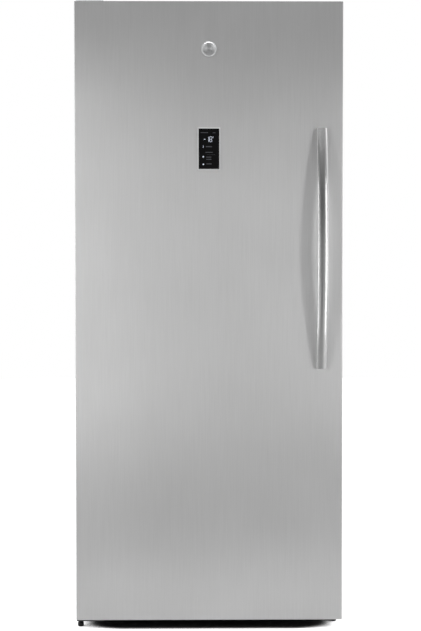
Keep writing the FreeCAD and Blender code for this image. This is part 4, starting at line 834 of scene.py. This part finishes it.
@dataclass
class Stand:
    """The levelling feet, the rear rollers and the plinth."""

    foot_steps: int = 96
    foot_ribs: int = 16
    rib_depth: float = 0.7
    rib_levels: tuple[float, float] = (3.2, 11.5)
    profile: tuple[tuple[float, float], ...] = (
        (7.6, 0.0), (8.6, 0.5), (8.9, 2.0), (8.9, 3.0), (9.5, 3.3), (9.5, 11.4), (8.9, 11.8), (8.6, 12.6),
        (7.4, 13.4), (5.2, 13.9), (3.0, 14.0),
    )
    thread_low: float = 14.6
    thread_pitch: float = 0.8
    crest_radius: float = 3.0
    root_radius: float = 2.7
    root_rise: float = 0.39
    shortest_stud: float = 15.5

    def build_foot(self, node: str, body: str) -> None:
        """Builds one ribbed foot on its stud.

        Args:
            node: the CAD node that it stands for.
            body: the body that it moves with.
        """
        low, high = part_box(node)
        top = high.z / MM
        stud = [
            (radius, self.thread_low + self.thread_pitch * turn + rise)
            for turn in range(int((top - self.shortest_stud) / self.thread_pitch))
            for radius, rise in ((self.crest_radius, 0.0), (self.root_radius, self.root_rise))
        ]
        mesh = bmesh.new()
        add_lathe(
            mesh, [*self.profile, *stud, (2.6, top - 0.4), (2.2, top)], self.foot_steps, self.foot_ribs,
            self.rib_depth, self.rib_levels,
        )
        centre = (low + high) / 2
        bmesh.ops.translate(mesh, verts=mesh.verts, vec=(centre.x, centre.y, 0.0))
        new_piece(f"{node}_ribbed", mesh, body, BLACK_ABS, [node])

    def build(self) -> None:
        """Builds the feet and dresses the rest."""
        self.build_foot("foot_left", "foot_l")
        self.build_foot("foot_right", "foot_r")
        dress(
            {
                "roller_left": GREY_ABS,
                "roller_right": GREY_ABS,
                "roller_brackets": ZINC_PLATE,
                "roller_axles": ZINC_PLATE,
                "kick_plate": BLACK_ABS,
                "right_foot_bracket": BLACK_ENAMEL,
            }
        )


@dataclass
class Cabinet:
    """The outer cabinet, its back and its hinges."""

    body: str = "cabinet"
    back_face: float = 370.9
    bead_rise: float = 2.3
    bead_half: float = 9.0
    bead_crest_half: float = 2.0
    upright_beads: tuple[tuple[float, float, float], ...] = ((-365.0, 400.0, 1860.0), (365.0, 400.0, 1860.0))
    level_beads: tuple[float, ...] = (440.0, 660.0, 880.0, 1100.0, 1320.0, 1760.0)
    level_half: float = 300.0
    cover_screws: tuple[tuple[float, float], ...] = (
        (-387.0, 36.0), (387.0, 36.0), (-387.0, 292.0), (387.0, 292.0),
    )
    board_screws: tuple[tuple[float, float], ...] = (
        (-115.6, 1494.4), (115.6, 1494.4), (-115.6, 1665.6), (115.6, 1665.6),
    )
    cover_head: ScrewHead = ScrewHead(4.4, 2.4)
    cover_seat: float = 372.5
    board_head: ScrewHead = ScrewHead(3.6, 1.9)
    board_seat: float = 373.0

    def build_beads(self) -> None:
        """Builds the stiffening beads that are pressed into the back."""
        half, width = self.bead_half, self.level_half
        boxes = [RoundBox(across - half, across + half, low, high, half) for across, low, high in self.upright_beads]
        boxes += [RoundBox(-width, width, level - half, level + half, half) for level in self.level_beads]
        mesh = bmesh.new()
        for box in boxes:
            add_dome(mesh, box, self.back_face, self.bead_rise, half - self.bead_crest_half, steps=5)
        new_piece("back_beads", mesh, self.body, GALVANISED)

    def build_screws(self) -> None:
        """Builds the recessed screw heads of the bay cover and the board's cover."""
        mesh = bmesh.new()
        for across, level in self.cover_screws:
            self.cover_head.add(mesh, across, self.cover_seat, level)
        new_piece("rear_screw_heads", mesh, self.body, ZINC_PLATE, ["rear_screws"])
        mesh = bmesh.new()
        for across, level in self.board_screws:
            self.board_head.add(mesh, across, self.board_seat, level)
        new_piece("board_cover_screws", mesh, self.body, ZINC_PLATE)

    def build(self) -> None:
        """Builds the beads and the screw heads and dresses the cabinet."""
        self.build_beads()
        self.build_screws()
        dress(
            {
                "outer_shell": SILVER_SIDE,
                "back_panel": GALVANISED,
                "base_pan": GALVANISED,
                "bay_liner": GALVANISED,
                "cabinet_foam": FOAM,
                "top_hinge_plate": ZINC_PLATE,
                "hinge_pins": ZINC_PLATE,
                "bracket_screws": ZINC_PLATE,
                "hinge_cover": GREY_ABS,
                "bottom_hinge_bracket": BLACK_ENAMEL,
                "bay_cover": GALVANISED,
                "cord_gland": BLACK_ABS,
                "main_board": BOARD,
                "board_cover": BLACK_ABS,
            }
        )


@dataclass
class FoodSpace:
    """The white inside with its shelves, drawers and lamp."""

    trim_half: float = 318.0
    trim_high: float = 10.0
    trim_drop: float = 24.0
    drawer_tops: tuple[tuple[str, float], ...] = (("drawer_lower", 352.0), ("drawer_upper", 560.0))
    drawer_face: float = -133.6

    def build_trims(self) -> None:
        """Builds the white strip across each drawer's front, below its finger slot."""
        for body, top in self.drawer_tops:
            high = top - self.trim_drop
            strip = RoundBox(-self.trim_half, self.trim_half, high - self.trim_high, high, self.trim_high / 2)
            mesh = bmesh.new()
            add_dome(mesh, strip, self.drawer_face, -2.6, 2.6)
            new_piece(f"{body}_trim", mesh, body, WHITE_TRIM)

    def build(self) -> None:
        """Builds the drawers' trims and dresses the inside."""
        self.build_trims()
        dress(
            {
                "inner_liner": WHITE_LINER,
                "duct_panel": WHITE_LINER,
                "ceiling_lamp": LAMP_LENS,
                "shelf_glass": SHELF_GLASS,
                "shelf_trims": WHITE_TRIM,
                "drawer_rails": WHITE_TRIM,
                "lower_drawer": CLEAR_STYRENE,
                "upper_drawer": CLEAR_STYRENE,
            }
        )


@dataclass
class ColdCircuit:
    """The compressor, the coils, the fans and the lines."""

    def build(self) -> None:
        """Dresses the cold circuit."""
        dress(
            {
                "evaporator_coil": ALUMINIUM,
                "defrost_heater": HEATER_TUBE,
                "drain_trough": WHITE_TRIM,
                "evap_fan_motor": BLACK_ABS,
                "evap_fan_blade": WHITE_TRIM,
                "compressor_shell": BLACK_ENAMEL,
                "compressor_motor": MOTOR_IRON,
                "compressor_grommets": RUBBER,
                "compressor_bolts": ZINC_PLATE,
                "relay_cover": BLACK_ABS,
                "condenser_coil": BLACK_ENAMEL,
                "condenser_fan_motor": GALVANISED,
                "condenser_fan_blade": BLACK_ABS,
                "filter_dryer": COPPER,
                "refrigerant_tubes": COPPER,
                "drip_tray": BLACK_ABS,
            }
        )


class Reach(Enum):
    """Which surfaces a lamp lights."""

    ALL = "all"
    GLOSSY = "glossy"


@dataclass(frozen=True)
class Lamp:
    """One soft lamp: where it hangs, what it points at, its size in metres and its power in watts."""

    name: str
    place: tuple[float, float, float]
    target: tuple[float, float, float]
    width: float
    height: float
    power: float
    reach: Reach = Reach.ALL

    def hang(self) -> None:
        """Puts the lamp in the scene."""
        light = bpy.data.lights.new(self.name, "AREA")
        light.shape = "RECTANGLE"
        light.size, light.size_y, light.energy = self.width, self.height, self.power
        lamp = bpy.data.objects.new(self.name, light)
        ahead = Vector(self.target) - Vector(self.place)
        lamp.matrix_world = Matrix.Translation(self.place) @ ahead.to_track_quat("-Z", "Y").to_matrix().to_4x4()
        lamp.visible_camera = False
        lamp.visible_diffuse = self.reach is not Reach.GLOSSY
        bpy.context.scene.collection.objects.link(lamp)


@dataclass
class Studio:
    """The camera, the white floor, the white surroundings and the lamps."""

    eye: tuple[float, float, float] = (-0.0202, -3.4906, 1.0574)
    turn_right_deg: float = 0.4458
    pitch_down_deg: float = 1.3907
    roll_deg: float = -0.0357
    focal_px: float = 1023.9
    floor_radius: float = 9.0
    floor_drop: float = 0.0002
    # The floor, in metres: how far it looks for shade, and where each of its tones starts and ends.
    # Beneath the freezer painted shade in its tone and glow deepens the real shadow, and painted light lifts it
    # beneath the door's sides.
    shade_reach: float = 0.12
    side_span: tuple[float, float] = (0.26, 0.42)
    painted_side_light: float = 0.3
    open_span: tuple[float, float] = (0.32, 0.52)
    beside_span: tuple[float, float] = (0.6, 1.6)
    mat_front: float = -0.9
    mat_depth: float = 0.6
    mirrored_lift: float = 0.25
    mat_tone: str = "#bcbcbc"
    floor_tone: str = "#e7e7e7"
    shade_tone: str = "#7c7c7c"
    # The surroundings: the light that falls on dull surfaces, and the dim gap that metal mirrors.
    low_ambient: float = 0.05
    high_ambient: float = 0.5
    dim_share: float = 0.3
    upper_share: float = 0.5
    overhead_share: float = 0.85
    gap_middle: float = -0.08
    gap_span: tuple[float, float] = (0.2, 0.8)
    lamps: tuple[Lamp, ...] = (
        Lamp("lamp_over", (0.0, -0.6, 4.4), (0.0, -0.2, 0.0), 2.6, 2.2, 48.0),
        Lamp("lamp_front", (0.0, -2.6, 4.6), (0.0, -0.3, 0.9), 2.4, 1.2, 60.0),
        Lamp("lamp_left", (-3.2, -0.4, 2.3), (-0.4, 0.0, 0.9), 3.2, 4.2, 40.0),
        Lamp("lamp_right", (3.2, -0.4, 2.3), (0.4, 0.0, 0.9), 3.2, 4.2, 40.0),
        Lamp("lamp_back", (0.0, 3.6, 2.6), (0.0, 0.3, 0.9), 3.4, 2.8, 50.0),
        Lamp("strip_left", (-1.3, -1.7, 1.15), (0.0, -0.3, 1.1), 0.35, 1.9, 8.7, Reach.GLOSSY),
        Lamp("strip_right", (1.4, -1.5, 1.15), (0.3, -0.3, 1.15), 0.2, 1.5, 4.5, Reach.GLOSSY),
    )

    def build_camera(self) -> None:
        """Sets the camera where the photographer's stood."""
        turn, pitch, roll = [math.radians(a) for a in (self.turn_right_deg, self.pitch_down_deg, self.roll_deg)]
        ahead = Vector((math.sin(turn) * math.cos(pitch), math.cos(turn) * math.cos(pitch), -math.sin(pitch)))
        right = Vector((math.cos(turn), -math.sin(turn), 0.0))
        up = right.cross(ahead)
        across, above = right * math.cos(roll) + up * math.sin(roll), up * math.cos(roll) - right * math.sin(roll)
        camera = bpy.data.objects.new("camera", bpy.data.cameras.new("camera"))
        camera.data.sensor_width = SENSOR_MM
        camera.data.lens = self.focal_px / PHOTO_HEIGHT_PX * SENSOR_MM
        camera.matrix_world = Matrix.Translation(self.eye) @ Matrix((across, above, -ahead)).transposed().to_4x4()
        bpy.context.scene.collection.objects.link(camera)
        bpy.context.scene.camera = camera

    def build_floor(self) -> None:
        """Lays the white floor; painted shade deepens its real shadow beneath the freezer, and painted light lifts it
        beneath the door's sides.
        """
        mesh = bmesh.new()
        bmesh.ops.create_circle(mesh, cap_ends=True, radius=self.floor_radius, segments=96)
        bmesh.ops.translate(mesh, verts=mesh.verts, vec=(0.0, 0.0, -self.floor_drop))
        data = bpy.data.meshes.new("studio_floor")
        mesh.to_mesh(data)
        mesh.free()
        floor = bpy.data.objects.new("studio_floor", data)
        bpy.context.scene.collection.objects.link(floor)
        material = bpy.data.materials.new("studio_floor_white")
        material.use_nodes = True
        tree = material.node_tree
        tree.nodes.clear()
        path = add_node(tree, "ShaderNodeLightPath")
        seen = add_node(
            tree, "ShaderNodeMath", {0: path.outputs["Is Camera Ray"], 1: path.outputs["Is Transmission Ray"]},
            operation="MAXIMUM",
        )
        spot = add_node(
            tree, "ShaderNodeSeparateXYZ", {0: add_node(tree, "ShaderNodeTexCoord").outputs["Object"]}
        )
        aside = add_node(tree, "ShaderNodeMath", {0: spot.outputs["X"]}, operation="ABSOLUTE")
        # The share of open sky just round a point: it falls from a half beside the door to nothing beneath it.
        # Towards the sides a painted light is added to it beneath the door's edges, and where it is low the floor's
        # tone and glow darken as painted shade on top of the real shadow.
        sky = add_node(tree, "ShaderNodeAmbientOcclusion", {"Distance": self.shade_reach}, samples=16)
        inward = add_node(
            tree, "ShaderNodeMapRange",
            {
                "Value": aside.outputs[0],
                "From Min": self.side_span[0],
                "From Max": self.side_span[1],
                "To Min": 0.0,
                "To Max": self.painted_side_light,
            },
            interpolation_type="SMOOTHSTEP",
        )
        sky = add_node(tree, "ShaderNodeMath", {0: sky.outputs["AO"], 1: inward.outputs[0]}, operation="ADD")
        open_share = add_node(
            tree, "ShaderNodeMapRange",
            {"Value": sky.outputs[0], "From Min": self.open_span[0], "From Max": self.open_span[1]},
            interpolation_type="SMOOTHSTEP",
        )
        beside = add_node(
            tree, "ShaderNodeMapRange",
            {"Value": aside.outputs[0], "From Min": self.beside_span[0], "From Max": self.beside_span[1]},
            interpolation_type="SMOOTHSTEP",
        )
        mirrored = add_node(
            tree, "ShaderNodeMath", {0: path.outputs["Is Glossy Ray"], 1: beside.outputs[0]}, operation="MULTIPLY"
        )
        mirrored = add_node(
            tree, "ShaderNodeMath", {0: mirrored.outputs[0], 1: self.mirrored_lift}, operation="MULTIPLY"
        )
        shown = add_node(tree, "ShaderNodeMath", {0: seen.outputs[0], 1: mirrored.outputs[0]}, operation="MAXIMUM")
        # Painted shade: the glow that keeps the floor white fades beneath the freezer with the open share.
        lift = add_node(
            tree, "ShaderNodeMath", {0: shown.outputs[0], 1: open_share.outputs[0]}, operation="MULTIPLY"
        )
        near = add_node(
            tree, "ShaderNodeMapRange",
            {"Value": spot.outputs["Y"], "From Min": self.mat_front - self.mat_depth, "From Max": self.mat_front},
        )
        clear = add_node(tree, "ShaderNodeMath", {0: beside.outputs[0], 1: near.outputs[0]}, operation="MAXIMUM")
        tone = add_node(
            tree, "ShaderNodeMix",
            {"Factor": clear.outputs[0], 6: linear(self.mat_tone), 7: linear(self.floor_tone)}, data_type="RGBA",
        )
        # Painted shade: the floor's tone darkens to the shade tone where the open share is low.
        tone = add_node(
            tree, "ShaderNodeMix",
            {"Factor": open_share.outputs[0], 6: linear(self.shade_tone), 7: tone.outputs[2]}, data_type="RGBA",
        )
        plain = add_node(tree, "ShaderNodeBsdfDiffuse", {"Color": tone.outputs[2]})
        glow = add_node(tree, "ShaderNodeEmission", {"Strength": lift.outputs[0]})
        whole = add_node(tree, "ShaderNodeAddShader", {0: plain.outputs[0], 1: glow.outputs[0]})
        add_node(tree, "ShaderNodeOutputMaterial", {"Surface": whole.outputs[0]})
        data.materials.append(material)

    def build_surroundings(self) -> None:
        """Makes the world: white where it is seen, with a dim gap behind the camera, and soft light from above."""
        world = bpy.data.worlds.new("studio_white")
        world.use_nodes = True
        tree = world.node_tree
        tree.nodes.clear()
        path = add_node(tree, "ShaderNodeLightPath")
        way = add_node(tree, "ShaderNodeSeparateXYZ", {0: add_node(tree, "ShaderNodeTexCoord").outputs["Generated"]})
        aside = add_node(
            tree, "ShaderNodeMath", {0: way.outputs["X"], 1: self.gap_middle}, operation="SUBTRACT"
        )
        aside = add_node(tree, "ShaderNodeMath", {0: aside.outputs[0]}, operation="ABSOLUTE")
        off_axis = add_node(
            tree, "ShaderNodeMapRange",
            {"Value": aside.outputs[0], "From Min": self.gap_span[0], "From Max": self.gap_span[1]},
            interpolation_type="SMOOTHSTEP",
        )
        behind = add_node(tree, "ShaderNodeMapRange", {"Value": way.outputs["Y"], "From Min": -0.3, "From Max": 0.2})
        above = add_node(tree, "ShaderNodeMapRange", {"Value": way.outputs["Z"], "From Min": 0.3, "From Max": 0.6})
        opened = add_node(tree, "ShaderNodeMath", {0: off_axis.outputs[0], 1: behind.outputs[0]}, operation="MAXIMUM")
        opened = add_node(tree, "ShaderNodeMath", {0: opened.outputs[0], 1: above.outputs[0]}, operation="MAXIMUM")
        sideways = add_node(
            tree, "ShaderNodeMapRange", {"Value": opened.outputs[0], "To Min": self.dim_share, "To Max": 1.0}
        )
        upwards = add_node(
            tree, "ShaderNodeMapRange",
            {"Value": way.outputs["Z"], "From Min": 0.02, "From Max": 0.24, "To Min": 1.0, "To Max": self.upper_share},
            interpolation_type="SMOOTHSTEP",
        )
        overhead = add_node(
            tree, "ShaderNodeMapRange",
            {
                "Value": way.outputs["Z"],
                "From Min": 0.36,
                "From Max": 0.7,
                "To Min": 0.0,
                "To Max": self.overhead_share,
            },
        )
        upwards = add_node(
            tree, "ShaderNodeMath", {0: upwards.outputs[0], 1: overhead.outputs[0]}, operation="MAXIMUM"
        )
        reflected = add_node(
            tree, "ShaderNodeMath", {0: sideways.outputs[0], 1: upwards.outputs[0]}, operation="MULTIPLY"
        )
        soft = add_node(
            tree, "ShaderNodeMapRange",
            {
                "Value": way.outputs["Z"],
                "From Min": 0.5,
                "From Max": 0.85,
                "To Min": self.low_ambient,
                "To Max": self.high_ambient,
            },
        )
        unlit = add_node(
            tree, "ShaderNodeMix",
            {0: path.outputs["Is Glossy Ray"], 2: soft.outputs[0], 3: reflected.outputs[0]}, data_type="FLOAT",
        )
        seen = add_node(
            tree, "ShaderNodeMath", {0: path.outputs["Is Camera Ray"], 1: path.outputs["Is Transmission Ray"]},
            operation="MAXIMUM",
        )
        level = add_node(
            tree, "ShaderNodeMix", {0: seen.outputs[0], 2: unlit.outputs[0], 3: 1.0}, data_type="FLOAT"
        )
        light = add_node(
            tree, "ShaderNodeBackground", {"Color": linear("#ffffff"), "Strength": level.outputs[0]}
        )
        add_node(tree, "ShaderNodeOutputWorld", {"Surface": light.outputs[0]})
        bpy.context.scene.world = world

    def build(self) -> None:
        """Builds the studio round the freezer."""
        self.build_floor()
        self.build_surroundings()
        for lamp in self.lamps:
            lamp.hang()
        bpy.context.scene.view_settings.view_transform = "Standard"


def main() -> None:
    """Builds the freezer's looks and the studio."""
    logging.basicConfig(level=logging.INFO, format="%(name)s: %(message)s")
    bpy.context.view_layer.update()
    studio = Studio()
    studio.build_camera()
    for assembly in (Door(), Display(), Stand(), Cabinet(), FoodSpace(), ColdCircuit(), studio):
        assembly.build()


if __name__ == "__main__":
    main()
